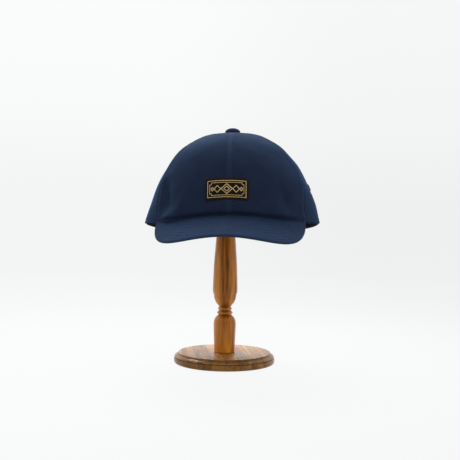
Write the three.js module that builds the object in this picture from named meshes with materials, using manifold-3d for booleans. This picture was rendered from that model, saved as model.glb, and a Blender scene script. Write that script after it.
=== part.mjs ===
// Navy twill ball cap resting on a turned wooden hat stand.
// Millimetres, +Z up, the brim towards -Y, the origin at the centre of the base's underside.
import * as THREE from "three";
import { mergeVertices } from "three/addons/utils/BufferGeometryUtils.js";
import Module from "manifold-3d";

const wasm = await Module();
wasm.setup();

// Crown: sizes at the rim, and the drop from the crown's top to the rim at the sides
const RIM_HALF_WIDTH = 106;
const RIM_FRONT_REACH = 84;
const RIM_BACK_REACH = 88;
const CROWN_DEPTH = 109.5;
const CLOTH = 1.6;
const SEAM_GAP = 0.3;
const FOLD_DEPTH = 5;

// Brim: a plate bent to an arch that droops forward from the rim
const BRIM_ROOT_RISE = 7.0;
const BRIM_DROOP = 18;
const BRIM_ARCH_RADIUS = 158;
const BRIM_CLOSING_SHARE = 0.52;
const BRIM_LENGTH = 62;
const BRIM_THICKNESS = 3;
const BRIM_EDGE = 1.6;
const BRIM_END_ANGLE = 53.5;
const BRIM_OUTLINE_POWER = 2.2;
const BRIM_SWEEP_ANGLE = 88;
const BRIM_TWIST = 0.9;

// Button, patch and eyelets
const BUTTON_RADIUS = 9.4;
const BUTTON_HEIGHT = 6.1;
const LABEL_WIDTH = 48.5;
const LABEL_HEIGHT = 27;
const LABEL_SIDE_SHIFT = -2.1;
const LABEL_TOP_DROP = 60.1;
const LABEL_THICKNESS = 1;
const LABEL_ARCH = 1.5;
const EYELET_RADIUS = 4.5;
const EYELET_HOLE_RADIUS = 1.8;
const EYELET_THICKNESS = 1;
const EYELET_DROP = 67;
const EYELET_ANGLE = 90;

// Band inside the rim, back opening, strap and slide
const BAND_HEIGHT = 28;
const BAND_GAP = 0.6;
const BAND_THICKNESS = 1.2;
const BAND_SHOW = 1.2;
const ARCH_HALF_WIDTH = 38;
const ARCH_HEIGHT = 46;
const STRAP_WIDTH = 19;
const STRAP_THICKNESS = 1.6;
const STRAP_TUCK = 12;
const SLIDE_LENGTH = 9;
const SLIDE_WALL = 1.5;
const SLIDE_GAP = 0.6;

// Stand
const BASE_RADIUS = 61.4;
const BASE_BEVEL = 5.6;
const BASE_HEIGHT = 13;
const POST_RADIUS = 15.1;
const POST_LENGTH = 214.3;
const TENON_RADIUS = 6;
const TENON_LENGTH = 9;
const FIT_GAP = 0.3;
const HEAD_RADIUS = 55;
const HEAD_HEIGHT = 50;
const HEAD_RIM = 6;
const CAP_SIDE_SHIFT = 6.6;
const CAP_BACK_SHIFT = 0;
const CAP_SIDE_TILT = 0.9;

// Crown sections from the rim to the top. rise is a share of the crown's height, side, front and back are
// shares of the rim's sizes, and the seams give the turn from the front in degrees.
const SECTIONS = [
  { rise: 0.0, side: 1.0, front: 1.0, back: 1.0, frontSeam: 54.5, backSeam: 121 },
  { rise: 0.19, side: 0.948, front: 0.985, back: 0.965, frontSeam: 57, backSeam: 121 },
  { rise: 0.37, side: 0.883, front: 0.955, back: 0.915, frontSeam: 62, backSeam: 121 },
  { rise: 0.55, side: 0.79, front: 0.895, back: 0.835, frontSeam: 66, backSeam: 121 },
  { rise: 0.7, side: 0.69, front: 0.8, back: 0.735, frontSeam: 66, backSeam: 121 },
  { rise: 0.82, side: 0.58, front: 0.67, back: 0.61, frontSeam: 65, backSeam: 121 },
  { rise: 0.91, side: 0.44, front: 0.51, back: 0.465, frontSeam: 63, backSeam: 120 },
  { rise: 0.965, side: 0.315, front: 0.355, back: 0.325, frontSeam: 61, backSeam: 120 },
  { rise: 0.989, side: 0.18, front: 0.2, back: 0.19, frontSeam: 60, backSeam: 120 },
  { rise: 1.0, side: 0.03, front: 0.038, back: 0.042, frontSeam: 60, backSeam: 120 },
];
const TOP_LEVEL = SECTIONS.length - 1;

// Drop of the rim behind the brim, as a share of the crown's depth, by turn from the front
const RIM_DROPS = [
  { turn: 54, drop: 1.0 },
  { turn: 90, drop: 1.004 },
  { turn: 110, drop: 1.036 },
  { turn: 130, drop: 1.067 },
  { turn: 155, drop: 1.088 },
  { turn: 180, drop: 1.092 },
];

// Folds in the cloth: turn from the front at the fold's middle, its lean over the whole rise, its half
// width in degrees, the rise where it starts and ends, and its depth as a share of FOLD_DEPTH
const FOLDS = [
  { turn: -50, lean: -38, width: 7.5, low: 0.02, high: 0.55, depth: -0.9 },
  { turn: -33, lean: 14, width: 4, low: 0.02, high: 0.42, depth: 0.3 },
  { turn: -44, lean: 0, width: 8, low: -0.06, high: 0.12, depth: 0.35 },
  { turn: 40, lean: -6, width: 5, low: 0.08, high: 0.45, depth: -0.5 },
  { turn: 35, lean: 0, width: 5, low: -0.05, high: 0.2, depth: 0.3 },
  { turn: 52, lean: 0, width: 8, low: -0.05, high: 0.12, depth: 0.25 },
  { turn: 80, lean: 0, width: 16, low: 0.35, high: 0.72, depth: 0.12 },
  { turn: 90, lean: 0, width: 18, low: 0.62, high: 0.88, depth: -0.22 },
  { turn: -86, lean: 0, width: 20, low: 0.58, high: 0.9, depth: 0.26 },
  { turn: -88, lean: 0, width: 24, low: -0.45, high: 0.42, depth: 0.34 },
  { turn: 150, lean: 10, width: 12, low: 0.1, high: 0.7, depth: -0.4 },
  { turn: -146, lean: -8, width: 14, low: 0.05, high: 0.6, depth: -0.45 },
];
const RIDGE_HEIGHT = 1.6;
const RIDGE_SPREAD = 9;

// Turned outline of the post: height and radius as shares of POST_LENGTH and POST_RADIUS
const POST_OUTLINE = [
  { up: 0.0, radius: 0.82 },
  { up: 0.11, radius: 0.885 },
  { up: 0.154, radius: 0.9 },
  { up: 0.177, radius: 0.865 },
  { up: 0.189, radius: 0.8 },
  { up: 0.2, radius: 0.69 },
  { up: 0.211, radius: 0.53 },
  { up: 0.222, radius: 0.65 },
  { up: 0.234, radius: 0.5 },
  { up: 0.245, radius: 0.575 },
  { up: 0.256, radius: 0.48 },
  { up: 0.268, radius: 0.61 },
  { up: 0.28, radius: 0.74 },
  { up: 0.302, radius: 0.87 },
  { up: 0.326, radius: 0.93 },
  { up: 0.348, radius: 1.0 },
  { up: 0.416, radius: 0.98 },
  { up: 0.507, radius: 0.93 },
  { up: 0.6, radius: 0.834 },
  { up: 0.7, radius: 0.74 },
  { up: 0.85, radius: 0.7 },
  { up: 1.0, radius: 0.85 },
];

// Turned outline of the base: inset from BASE_RADIUS and height as shares of BASE_BEVEL and BASE_HEIGHT
const BASE_OUTLINE = [
  { inset: 0.14, up: 0.0 },
  { inset: 0.0, up: 0.2 },
  { inset: 0.03, up: 0.44 },
  { inset: 0.3, up: 0.6 },
  { inset: 0.31, up: 0.68 },
  { inset: 0.6, up: 0.86 },
  { inset: 1.0, up: 1.0 },
];

const radians = THREE.MathUtils.degToRad;
const degrees = THREE.MathUtils.radToDeg;

// Smooth value of one column between the rows of a table, at a row number that may be a fraction
function readColumn(rows, key, place) {
  const last = rows.length - 1;
  const index = Math.min(Math.floor(Math.max(place, 0)), last - 1);
  const part = place - index;
  const value = (row) => rows[Math.min(Math.max(row, 0), last)][key];
  const before = (value(index + 1) - value(index - 1)) / 2;
  const after = (value(index + 2) - value(index)) / 2;
  const step = value(index + 1) - value(index);
  const bend = 3 * step - 2 * before - after;
  const twist = before + after - 2 * step;
  return value(index) + part * (before + part * (bend + part * twist));
}

// Row number in the rim table for a turn away from the front
function rimRow(turn) {
  const away = Math.abs(turn) > 180 ? 360 - Math.abs(turn) : Math.abs(turn);
  if (away <= RIM_DROPS[0].turn) return 0;
  let row = 0;
  while (row < RIM_DROPS.length - 2 && RIM_DROPS[row + 1].turn < away) row += 1;
  const low = RIM_DROPS[row].turn;
  return row + (away - low) / (RIM_DROPS[row + 1].turn - low);
}

// Height of the brim's upper face, below the crown's top, over a point in plan
function brimTop(x, y) {
  const forward = -y - RIM_FRONT_REACH;
  const droop = forward * Math.tan(radians(BRIM_DROOP));
  const share = forward / BRIM_LENGTH;
  const twist = x * Math.tan(radians(BRIM_TWIST)) * Math.max(share, 0);
  const arch = ((x * x) / (2 * BRIM_ARCH_RADIUS)) * (1 + BRIM_CLOSING_SHARE * share);
  return BRIM_ROOT_RISE - CROWN_DEPTH - droop - twist - arch;
}

// Drop of the rim: level with the brim's underside in front, then the rim's own line
function rimDrop(turn) {
  const free = CROWN_DEPTH * readColumn(RIM_DROPS, "drop", rimRow(turn));
  const x = RIM_HALF_WIDTH * Math.sin(radians(turn));
  const y = -RIM_FRONT_REACH * Math.cos(radians(turn));
  const front = BRIM_THICKNESS - brimTop(x, y);
  const share = THREE.MathUtils.smoothstep(Math.abs(turn), BRIM_END_ANGLE - 8, BRIM_END_ANGLE + 2);
  return front + (free - front) * share;
}

// How far the cloth stands out from the plain shell, from its folds and the ridges at the front seams
function clothRelief(turn, rise, frontSeam) {
  let out = 0;
  for (const fold of FOLDS) {
    const middle = (fold.low + fold.high) / 2;
    const across = (turn - fold.turn - fold.lean * (rise - middle)) / fold.width;
    const along = (rise - middle) / ((fold.high - fold.low) / 2);
    if (Math.abs(along) < 1) {
      const fade = (1 - along * along) ** 2;
      out += FOLD_DEPTH * fold.depth * fade * Math.exp(-across * across);
    }
  }
  const fromSeam = Math.abs(Math.abs(turn) - frontSeam);
  const band = THREE.MathUtils.smoothstep(rise, 0.1, 0.45) * (1 - THREE.MathUtils.smoothstep(rise, 0.75, 0.97));
  return out + RIDGE_HEIGHT * band * Math.exp(-fromSeam / RIDGE_SPREAD);
}

// Point on the outside of the crown, from the crown's top, by turn from the front and by section row
function crownPoint(turn, level) {
  const angle = radians(turn);
  const rise = readColumn(SECTIONS, "rise", level);
  const wide = RIM_HALF_WIDTH * readColumn(SECTIONS, "side", level);
  const front = RIM_FRONT_REACH * readColumn(SECTIONS, "front", level);
  const back = RIM_BACK_REACH * readColumn(SECTIONS, "back", level);
  const reach = Math.cos(angle) > 0 ? front : back;
  const outward = new THREE.Vector3(reach * Math.sin(angle), -wide * Math.cos(angle), 0).normalize();
  const signed = turn > 180 ? turn - 360 : turn;
  const relief = clothRelief(signed, rise, readColumn(SECTIONS, "frontSeam", level));
  const point = new THREE.Vector3(wide * Math.sin(angle), -reach * Math.cos(angle), -rimDrop(signed) * (1 - rise));
  return point.addScaledVector(outward, relief);
}

// Outward normal of the crown, from points a small step apart
function crownNormal(turn, level) {
  const step = 0.02;
  const high = Math.min(level + step, TOP_LEVEL);
  const along = crownPoint(turn + 1, level).sub(crownPoint(turn - 1, level));
  const up = crownPoint(turn, high).sub(crownPoint(turn, high - 2 * step));
  return along.cross(up).normalize();
}

// Point at a distance outside the crown's outer face; a negative distance lies inside
function shellPoint(turn, level, distance) {
  return crownPoint(turn, level).addScaledVector(crownNormal(turn, level), distance);
}

// Section row at which the crown, at this turn, lies at a given drop below its top
function levelAtDrop(turn, drop) {
  let low = -0.5;
  let high = TOP_LEVEL;
  for (let i = 0; i < 30; i += 1) {
    const middle = (low + high) / 2;
    if (-crownPoint(turn, middle).z > drop) low = middle;
    else high = middle;
  }
  return (low + high) / 2;
}

// Closed solid between two grids of points, its faces turned out where columns run right and rows run up
function solidBetween(outer, inner) {
  const rows = outer.length;
  const columns = outer[0].length;
  const positions = [...outer.flat(), ...inner.flat()].flatMap((p) => [p.x, p.y, p.z]);
  const at = (side, row, column) => side * rows * columns + row * columns + column;
  const faces = [];
  const quad = (a, b, c, d) => faces.push(a, b, c, a, c, d);
  for (let r = 0; r < rows - 1; r += 1) {
    for (let c = 0; c < columns - 1; c += 1) {
      quad(at(0, r, c), at(0, r, c + 1), at(0, r + 1, c + 1), at(0, r + 1, c));
      quad(at(1, r, c), at(1, r + 1, c), at(1, r + 1, c + 1), at(1, r, c + 1));
    }
  }
  for (let c = 0; c < columns - 1; c += 1) {
    const top = rows - 1;
    quad(at(0, 0, c), at(1, 0, c), at(1, 0, c + 1), at(0, 0, c + 1));
    quad(at(0, top, c), at(0, top, c + 1), at(1, top, c + 1), at(1, top, c));
  }
  for (let r = 0; r < rows - 1; r += 1) {
    const end = columns - 1;
    quad(at(0, r, 0), at(0, r + 1, 0), at(1, r + 1, 0), at(1, r, 0));
    quad(at(0, r, end), at(1, r, end), at(1, r + 1, end), at(0, r + 1, end));
  }
  const geometry = new THREE.BufferGeometry();
  geometry.setAttribute("position", new THREE.Float32BufferAttribute(positions, 3));
  geometry.setIndex(faces);
  return geometry;
}

// Cloth strip that follows the crown: turns and levels give each point, the distances its two faces
function stripOnCrown(rows, columns, place, outside, inside) {
  const grid = (distance) => {
    const points = [];
    for (let r = 0; r <= rows; r += 1) {
      const line = [];
      for (let c = 0; c <= columns; c += 1) {
        const [turn, level] = place(c / columns, r / rows);
        line.push(shellPoint(turn, level, distance));
      }
      points.push(line);
    }
    return points;
  };
  return solidBetween(grid(outside), grid(inside));
}

// Joined and cut solids
function toManifold(geometry) {
  const bare = geometry.clone();
  bare.deleteAttribute("normal");
  bare.deleteAttribute("uv");
  const merged = mergeVertices(bare, 1e-4);
  const triVerts = new Uint32Array(merged.index.array);
  const vertProperties = new Float32Array(merged.attributes.position.array);
  return new wasm.Manifold(new wasm.Mesh({ numProp: 3, vertProperties, triVerts }));
}

function cutAway(geometry, tool) {
  const mesh = toManifold(geometry).subtract(toManifold(tool)).getMesh();
  const cut = new THREE.BufferGeometry();
  cut.setAttribute("position", new THREE.BufferAttribute(new Float32Array(mesh.vertProperties), 3));
  cut.setIndex(new THREE.BufferAttribute(new Uint32Array(mesh.triVerts), 1));
  return cut;
}

// Materials
const twill = new THREE.MeshStandardMaterial({ color: 0x2a3449, roughness: 0.9, metalness: 0 });
const band = new THREE.MeshStandardMaterial({ color: 0x2b2a2e, roughness: 0.95, metalness: 0 });
const woven = new THREE.MeshStandardMaterial({ color: 0x8f7a4a, roughness: 0.7, metalness: 0 });
const thread = new THREE.MeshStandardMaterial({ color: 0x303c55, roughness: 0.8, metalness: 0 });
const brass = new THREE.MeshStandardMaterial({ color: 0xa08448, roughness: 0.35, metalness: 1 });
const wood = new THREE.MeshStandardMaterial({ color: 0x80471c, roughness: 0.4, metalness: 0 });

function named(name, geometry, material) {
  geometry.computeVertexNormals();
  const mesh = new THREE.Mesh(geometry, material);
  mesh.name = name;
  return mesh;
}

// Crown panels: each runs between two seams and stops half a seam gap short of both
const frontSeam = (level) => readColumn(SECTIONS, "frontSeam", level);
const backSeam = (level) => readColumn(SECTIONS, "backSeam", level);
const PANELS = {
  frontRight: { left: () => 0, right: frontSeam, columns: 12 },
  sideRight: { left: frontSeam, right: backSeam, columns: 9 },
  backRight: { left: backSeam, right: () => 180, columns: 8 },
  backLeft: { left: () => 180, right: (level) => 360 - backSeam(level), columns: 8 },
  sideLeft: { left: (level) => 360 - backSeam(level), right: (level) => 360 - frontSeam(level), columns: 9 },
  frontLeft: { left: (level) => 360 - frontSeam(level), right: () => 360, columns: 12 },
};
const PANEL_ROWS = 16;

// Turn of a point of a panel, by its share of the way across and the section row
function panelTurn(panel, across, level) {
  const left = panel.left(level);
  const right = panel.right(level);
  const edge = crownPoint(left, level);
  const inset = degrees(SEAM_GAP / 2 / Math.hypot(edge.x, edge.y));
  return left + inset + (right - left - 2 * inset) * across;
}

function panelGeometry(panel) {
  const place = (across, up) => {
    const level = up * TOP_LEVEL;
    return [panelTurn(panel, across, level), level];
  };
  return stripOnCrown(PANEL_ROWS, panel.columns, place, 0, -CLOTH);
}

// Point beside one of a panel's own rows
function rowPoint(panel, across, row, distance) {
  const level = (row / PANEL_ROWS) * TOP_LEVEL;
  return shellPoint(panelTurn(panel, across, level), level, distance);
}

// Point beside a panel's wall at a given drop, straight between the panel's rows as the wall itself is
function wallPoint(panel, across, drop, distance) {
  let row = 1;
  let low = rowPoint(panel, across, 0, distance);
  let high = rowPoint(panel, across, 1, distance);
  while (-high.z > drop) {
    row += 1;
    low = high;
    high = rowPoint(panel, across, row, distance);
  }
  return low.lerp(high, (-drop - low.z) / (high.z - low.z));
}

// Air hole through a side panel, square to the cloth
const eyeletLevel = (turn) => levelAtDrop(turn, EYELET_DROP);

function placeOnCrown(object, turn, level, distance) {
  object.position.copy(shellPoint(turn, level, distance));
  object.quaternion.setFromUnitVectors(new THREE.Vector3(0, 1, 0), crownNormal(turn, level));
  object.updateMatrix();
  return object;
}

function sidePanel(panel, turn) {
  const drill = new THREE.CylinderGeometry(EYELET_HOLE_RADIUS, EYELET_HOLE_RADIUS, 4 * CLOTH, 14);
  const holder = placeOnCrown(new THREE.Object3D(), turn, eyeletLevel(turn), -CLOTH / 2);
  return cutAway(panelGeometry(panel), drill.applyMatrix4(holder.matrix));
}

// Arched opening over the strap, cut through both back panels
function archTool() {
  const rim = -rimDrop(180);
  const straight = ARCH_HEIGHT - ARCH_HALF_WIDTH;
  const shape = new THREE.Shape();
  shape.moveTo(-ARCH_HALF_WIDTH, rim - CROWN_DEPTH / 4);
  shape.lineTo(ARCH_HALF_WIDTH, rim - CROWN_DEPTH / 4);
  shape.lineTo(ARCH_HALF_WIDTH, rim + straight);
  shape.absarc(0, rim + straight, ARCH_HALF_WIDTH, 0, Math.PI, false);
  const tool = new THREE.ExtrudeGeometry(shape, { depth: RIM_BACK_REACH, bevelEnabled: false, curveSegments: 10 });
  tool.rotateX(Math.PI / 2);
  tool.translate(0, RIM_BACK_REACH * 1.5, 0);
  return tool;
}

function crownPanels() {
  const arch = archTool();
  return [
    named("panel_front_right", panelGeometry(PANELS.frontRight), twill),
    named("panel_side_right", sidePanel(PANELS.sideRight, EYELET_ANGLE), twill),
    named("panel_back_right", cutAway(panelGeometry(PANELS.backRight), arch), twill),
    named("panel_back_left", cutAway(panelGeometry(PANELS.backLeft), arch), twill),
    named("panel_side_left", sidePanel(PANELS.sideLeft, 360 - EYELET_ANGLE), twill),
    named("panel_front_left", panelGeometry(PANELS.frontLeft), twill),
  ];
}

// Sewn rings round the air holes
function eyelet(name, turn) {
  const profile = [
    [EYELET_HOLE_RADIUS, 0],
    [EYELET_RADIUS, 0],
    [EYELET_RADIUS, EYELET_THICKNESS * 0.5],
    [(EYELET_RADIUS + EYELET_HOLE_RADIUS) / 2, EYELET_THICKNESS],
    [EYELET_HOLE_RADIUS, EYELET_THICKNESS * 0.5],
    [EYELET_HOLE_RADIUS, 0],
  ];
  const geometry = new THREE.LatheGeometry(profile.map(([x, y]) => new THREE.Vector2(x, y)), 14);
  return placeOnCrown(named(name, geometry, thread), turn, eyeletLevel(turn), SEAM_GAP);
}

// Columns of a run of panels, one where two panels meet, each with the panel and the share across it
function columnsOf(panels) {
  const columns = [];
  panels.forEach((panel, index) => {
    for (let c = index === 0 ? 0 : 1; c <= panel.columns; c += 1) columns.push({ panel, across: c / panel.columns });
  });
  return columns;
}

// Brim: its inner edge follows the rim, its outer edge a rounded outline
const BRIM_ROWS = 6;
const BRIM_EDGE_SHARE = 0.03;

function brim() {
  const columns = columnsOf([PANELS.frontLeft, PANELS.frontRight]);
  const end = crownPoint(BRIM_END_ANGLE, 0);
  const reach = BRIM_LENGTH + RIM_FRONT_REACH + end.y;
  const power = 2 / BRIM_OUTLINE_POWER;
  const slim = (BRIM_THICKNESS - BRIM_EDGE) / 2;
  const column = (place, index, face) => {
    const turn = panelTurn(place.panel, place.across, 0);
    const root = crownPoint(turn, 0);
    root.addScaledVector(crownNormal(turn, 0).setZ(0).normalize(), SEAM_GAP);
    const sideways = (2 * index) / (columns.length - 1) - 1;
    const swing = radians(BRIM_SWEEP_ANGLE * sideways);
    const rim = new THREE.Vector3(
      Math.sign(sideways) * (end.x + SEAM_GAP) * Math.abs(Math.sin(swing)) ** power,
      end.y - SEAM_GAP - reach * Math.cos(swing) ** power,
      0,
    );
    const line = [];
    for (let r = 0; r <= BRIM_ROWS; r += 1) {
      const share = r === 0 ? 1 : (1 - BRIM_EDGE_SHARE) * (1 - (r - 1) / (BRIM_ROWS - 1));
      const point = root.clone().lerp(rim, share);
      const inset = r === 0 ? slim : 0;
      point.z = brimTop(point.x, point.y) - (face === "top" ? inset : BRIM_THICKNESS - inset);
      line.push(point);
    }
    return line;
  };
  const grid = (face) => {
    const lines = columns.map((place, index) => column(place, index, face));
    return lines[0].map((_, r) => lines.map((line) => line[r]));
  };
  return named("brim", solidBetween(grid("top"), grid("bottom")), twill);
}

// Button over the point where the panels meet
function button() {
  const steps = 6;
  const lip = BUTTON_HEIGHT * 0.3;
  const profile = [new THREE.Vector2(0, 0), new THREE.Vector2(BUTTON_RADIUS * 0.93, 0)];
  for (let i = 0; i <= steps; i += 1) {
    const angle = (i / steps) * (Math.PI / 2);
    const height = lip + (BUTTON_HEIGHT - lip) * Math.sin(angle);
    profile.push(new THREE.Vector2(i === steps ? 0 : BUTTON_RADIUS * Math.cos(angle), height));
  }
  const geometry = new THREE.LatheGeometry(profile, 24);
  geometry.rotateX(Math.PI / 2);
  geometry.translate(0, 0, SEAM_GAP);
  return named("button", geometry, twill);
}

// Woven patch on the front, its middle raised a little as the cloth under it is
function labelPatch() {
  const rows = 4;
  const columns = 10;
  const place = (across, up) => {
    const sideways = (across - 0.5) * 2;
    const arch = LABEL_ARCH * sideways * sideways;
    const drop = LABEL_TOP_DROP + LABEL_HEIGHT * (1 - up) + arch;
    const wide = RIM_HALF_WIDTH * readColumn(SECTIONS, "side", levelAtDrop(0, drop));
    const turn = degrees(Math.asin((LABEL_SIDE_SHIFT + (sideways * LABEL_WIDTH) / 2) / wide));
    return [turn, levelAtDrop(turn, drop)];
  };
  const low = SEAM_GAP;
  return named("label_patch", stripOnCrown(rows, columns, place, low + LABEL_THICKNESS, low), woven);
}

// Band inside the rim, from one end of the strap round the front to the other
const BEHIND_CLOTH = CLOTH + BAND_GAP;

// Share of the way from the back seam to the centre back at which the strap ends
function strapEndShare(clearance) {
  const half = ARCH_HALF_WIDTH + STRAP_TUCK + clearance;
  const turn = 180 - degrees(Math.asin(half / RIM_HALF_WIDTH));
  return (turn - backSeam(0)) / (180 - backSeam(0));
}

// Strip of a given height up the inside of the walls, from a list of columns
function innerStrip(columns, rows, height, show, thickness) {
  const grid = (distance) => {
    const lines = [];
    for (let r = 0; r <= rows; r += 1) {
      const line = columns.map(({ panel, across }) => {
        const rim = -rowPoint(panel, across, 0, distance).z;
        return wallPoint(panel, across, rim + show - (height + show) * (r / rows), distance);
      });
      lines.push(line);
    }
    return lines;
  };
  return solidBetween(grid(-BEHIND_CLOTH), grid(-BEHIND_CLOTH - thickness));
}

function sweatband() {
  const { backLeft, sideLeft, frontLeft, frontRight, sideRight, backRight } = PANELS;
  const end = strapEndShare(SEAM_GAP);
  const inside = ({ panel, across }) =>
    !(panel === backLeft && across <= 1 - end) && !(panel === backRight && across >= end);
  const all = columnsOf([backLeft, sideLeft, frontLeft, frontRight, sideRight, backRight]);
  const columns = [
    { panel: backLeft, across: 1 - end },
    ...all.filter(inside),
    { panel: backRight, across: end },
  ];
  return named("sweatband", innerStrip(columns, 3, BAND_HEIGHT, BAND_SHOW, BAND_THICKNESS), band);
}

// Strap across the back opening, tucked behind the back panels, and the slide that holds it
function backStrap() {
  const { backLeft, backRight } = PANELS;
  const end = strapEndShare(0);
  const all = columnsOf([backRight, backLeft]);
  const inside = ({ panel, across }) => (panel === backRight ? across > end : across < 1 - end);
  const columns = [
    { panel: backRight, across: end },
    ...all.filter(inside),
    { panel: backLeft, across: 1 - end },
  ];
  return named("back_strap", innerStrip(columns, 2, STRAP_WIDTH, 0, STRAP_THICKNESS), twill);
}

function strapSlide() {
  const halfHeight = STRAP_WIDTH / 2 + SLIDE_GAP;
  const halfDepth = STRAP_THICKNESS / 2 + SLIDE_GAP;
  const outline = (shape, grow) => {
    shape.moveTo(-halfDepth - grow, -halfHeight - grow);
    shape.lineTo(halfDepth + grow, -halfHeight - grow);
    shape.lineTo(halfDepth + grow, halfHeight + grow);
    shape.lineTo(-halfDepth - grow, halfHeight + grow);
    shape.closePath();
    return shape;
  };
  const shape = outline(new THREE.Shape(), SLIDE_WALL);
  shape.holes.push(outline(new THREE.Path(), 0));
  const geometry = new THREE.ExtrudeGeometry(shape, { depth: SLIDE_LENGTH, bevelEnabled: false });
  geometry.translate(0, 0, -SLIDE_LENGTH / 2);
  const slide = named("strap_slide", geometry, brass);
  const level = levelAtDrop(180, rimDrop(180) - STRAP_WIDTH / 2);
  slide.position.copy(shellPoint(180, level, -BEHIND_CLOTH - STRAP_THICKNESS / 2));
  const out = crownNormal(180, level);
  const along = new THREE.Vector3(-1, 0, 0);
  slide.quaternion.setFromRotationMatrix(new THREE.Matrix4().makeBasis(out, along.clone().cross(out), along));
  return slide;
}

// Stand
function turned(name, profile, segments) {
  const geometry = new THREE.LatheGeometry(profile.map(([x, y]) => new THREE.Vector2(x, y)), segments);
  geometry.rotateX(Math.PI / 2);
  return named(name, geometry, wood);
}

function standBase() {
  const socket = TENON_RADIUS + FIT_GAP;
  const floor = BASE_HEIGHT - TENON_LENGTH - FIT_GAP;
  const profile = [[0, 0]];
  for (const row of BASE_OUTLINE) {
    profile.push([BASE_RADIUS - row.inset * BASE_BEVEL, row.up * BASE_HEIGHT]);
  }
  profile.push([socket, BASE_HEIGHT]);
  profile.push([socket, floor]);
  profile.push([0, floor]);
  return turned("stand_base", profile, 56);
}

const postFoot = BASE_HEIGHT + FIT_GAP;
const headFoot = postFoot + POST_LENGTH + FIT_GAP;

function standPost() {
  const profile = [
    [0, -TENON_LENGTH],
    [TENON_RADIUS, -TENON_LENGTH],
    [TENON_RADIUS, 0],
  ];
  for (const row of POST_OUTLINE) {
    profile.push([row.radius * POST_RADIUS, row.up * POST_LENGTH]);
  }
  profile.push([TENON_RADIUS, POST_LENGTH]);
  profile.push([TENON_RADIUS, POST_LENGTH + TENON_LENGTH]);
  profile.push([0, POST_LENGTH + TENON_LENGTH]);
  const post = turned("stand_post", profile, 28);
  post.position.z = postFoot;
  return post;
}

const headDome = (radius) => HEAD_RIM + (HEAD_HEIGHT - HEAD_RIM) * Math.sqrt(1 - (radius / HEAD_RADIUS) ** 2);

function standHead() {
  const socket = TENON_RADIUS + FIT_GAP;
  const profile = [
    [0, TENON_LENGTH + FIT_GAP],
    [socket, TENON_LENGTH + FIT_GAP],
    [socket, 0],
    [HEAD_RADIUS - HEAD_RIM / 2, 0],
    [HEAD_RADIUS, HEAD_RIM / 2],
  ];
  const steps = 9;
  for (let i = 0; i < steps; i += 1) {
    const radius = HEAD_RADIUS * Math.cos((i / steps) * (Math.PI / 2));
    profile.push([radius, headDome(radius)]);
  }
  profile.push([0, HEAD_HEIGHT]);
  const head = turned("stand_head", profile, 32);
  head.position.z = headFoot;
  return head;
}

// Height of the crown's top at which the crown's inside just clears the head
const capTilt = new THREE.Quaternion().setFromAxisAngle(new THREE.Vector3(0, 1, 0), radians(-CAP_SIDE_TILT));

function seatHeight() {
  let lift = 0;
  for (let turn = 0; turn < 360; turn += 15) {
    for (let level = 0; level <= TOP_LEVEL; level += 0.25) {
      const inside = shellPoint(turn, level, -CLOTH).applyQuaternion(capTilt);
      const radius = Math.hypot(inside.x + CAP_SIDE_SHIFT, inside.y + CAP_BACK_SHIFT);
      if (radius < HEAD_RADIUS) lift = Math.max(lift, headDome(radius) - inside.z);
    }
  }
  return headFoot + lift + FIT_GAP;
}

const cap = new THREE.Group();
cap.quaternion.copy(capTilt);
cap.position.set(CAP_SIDE_SHIFT, CAP_BACK_SHIFT, seatHeight());
cap.add(...crownPanels(), brim(), button(), labelPatch(), sweatband(), backStrap(), strapSlide());
cap.add(eyelet("eyelet_right", EYELET_ANGLE), eyelet("eyelet_left", 360 - EYELET_ANGLE));

const part = new THREE.Group();
part.add(standBase(), standPost(), standHead(), cap);

export default part;
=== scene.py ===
"""Looks of a navy twill cap on a turned wooden stand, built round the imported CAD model.

Sizes are in millimetres and angles in degrees until a mesh is made, which is in metres in the model's frame.
The cap's own frame has its origin at the top of the crown, with +Z up and the brim towards -Y.
"""

import math

import bpy
import numpy as np
from mathutils import Matrix, Vector


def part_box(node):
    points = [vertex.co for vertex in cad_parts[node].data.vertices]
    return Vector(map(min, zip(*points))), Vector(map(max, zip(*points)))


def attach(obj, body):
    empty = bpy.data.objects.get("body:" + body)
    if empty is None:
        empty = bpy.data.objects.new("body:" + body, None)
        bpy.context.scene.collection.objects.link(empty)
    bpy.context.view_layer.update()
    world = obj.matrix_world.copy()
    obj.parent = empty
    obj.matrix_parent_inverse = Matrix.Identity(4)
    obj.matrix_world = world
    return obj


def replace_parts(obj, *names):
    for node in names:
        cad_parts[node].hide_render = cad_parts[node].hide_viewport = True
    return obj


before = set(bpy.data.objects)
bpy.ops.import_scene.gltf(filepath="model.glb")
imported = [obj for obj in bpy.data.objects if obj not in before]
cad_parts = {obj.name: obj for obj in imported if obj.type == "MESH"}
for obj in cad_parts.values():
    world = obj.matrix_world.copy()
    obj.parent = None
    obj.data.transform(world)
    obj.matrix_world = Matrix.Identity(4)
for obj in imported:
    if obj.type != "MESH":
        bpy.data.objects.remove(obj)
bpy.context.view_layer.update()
rng = np.random.default_rng(11)

# Crown, as in the solids
RIM_HALF_WIDTH = 106
RIM_FRONT_REACH = 84
RIM_BACK_REACH = 88
CROWN_DEPTH = 109.5
CLOTH = 1.6
SEAM_GAP = 0.3
FOLD_DEPTH = 5
RIDGE_HEIGHT = 1.6
RIDGE_SPREAD = 9

# Brim, as in the solids
BRIM_ROOT_RISE = 7.0
BRIM_DROOP = 18
BRIM_ARCH_RADIUS = 158
BRIM_CLOSING_SHARE = 0.52
BRIM_LENGTH = 62
BRIM_THICKNESS = 3
BRIM_END_ANGLE = 53.5
BRIM_OUTLINE_POWER = 2.2
BRIM_SWEEP_ANGLE = 88
BRIM_TWIST = 0.9

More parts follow.
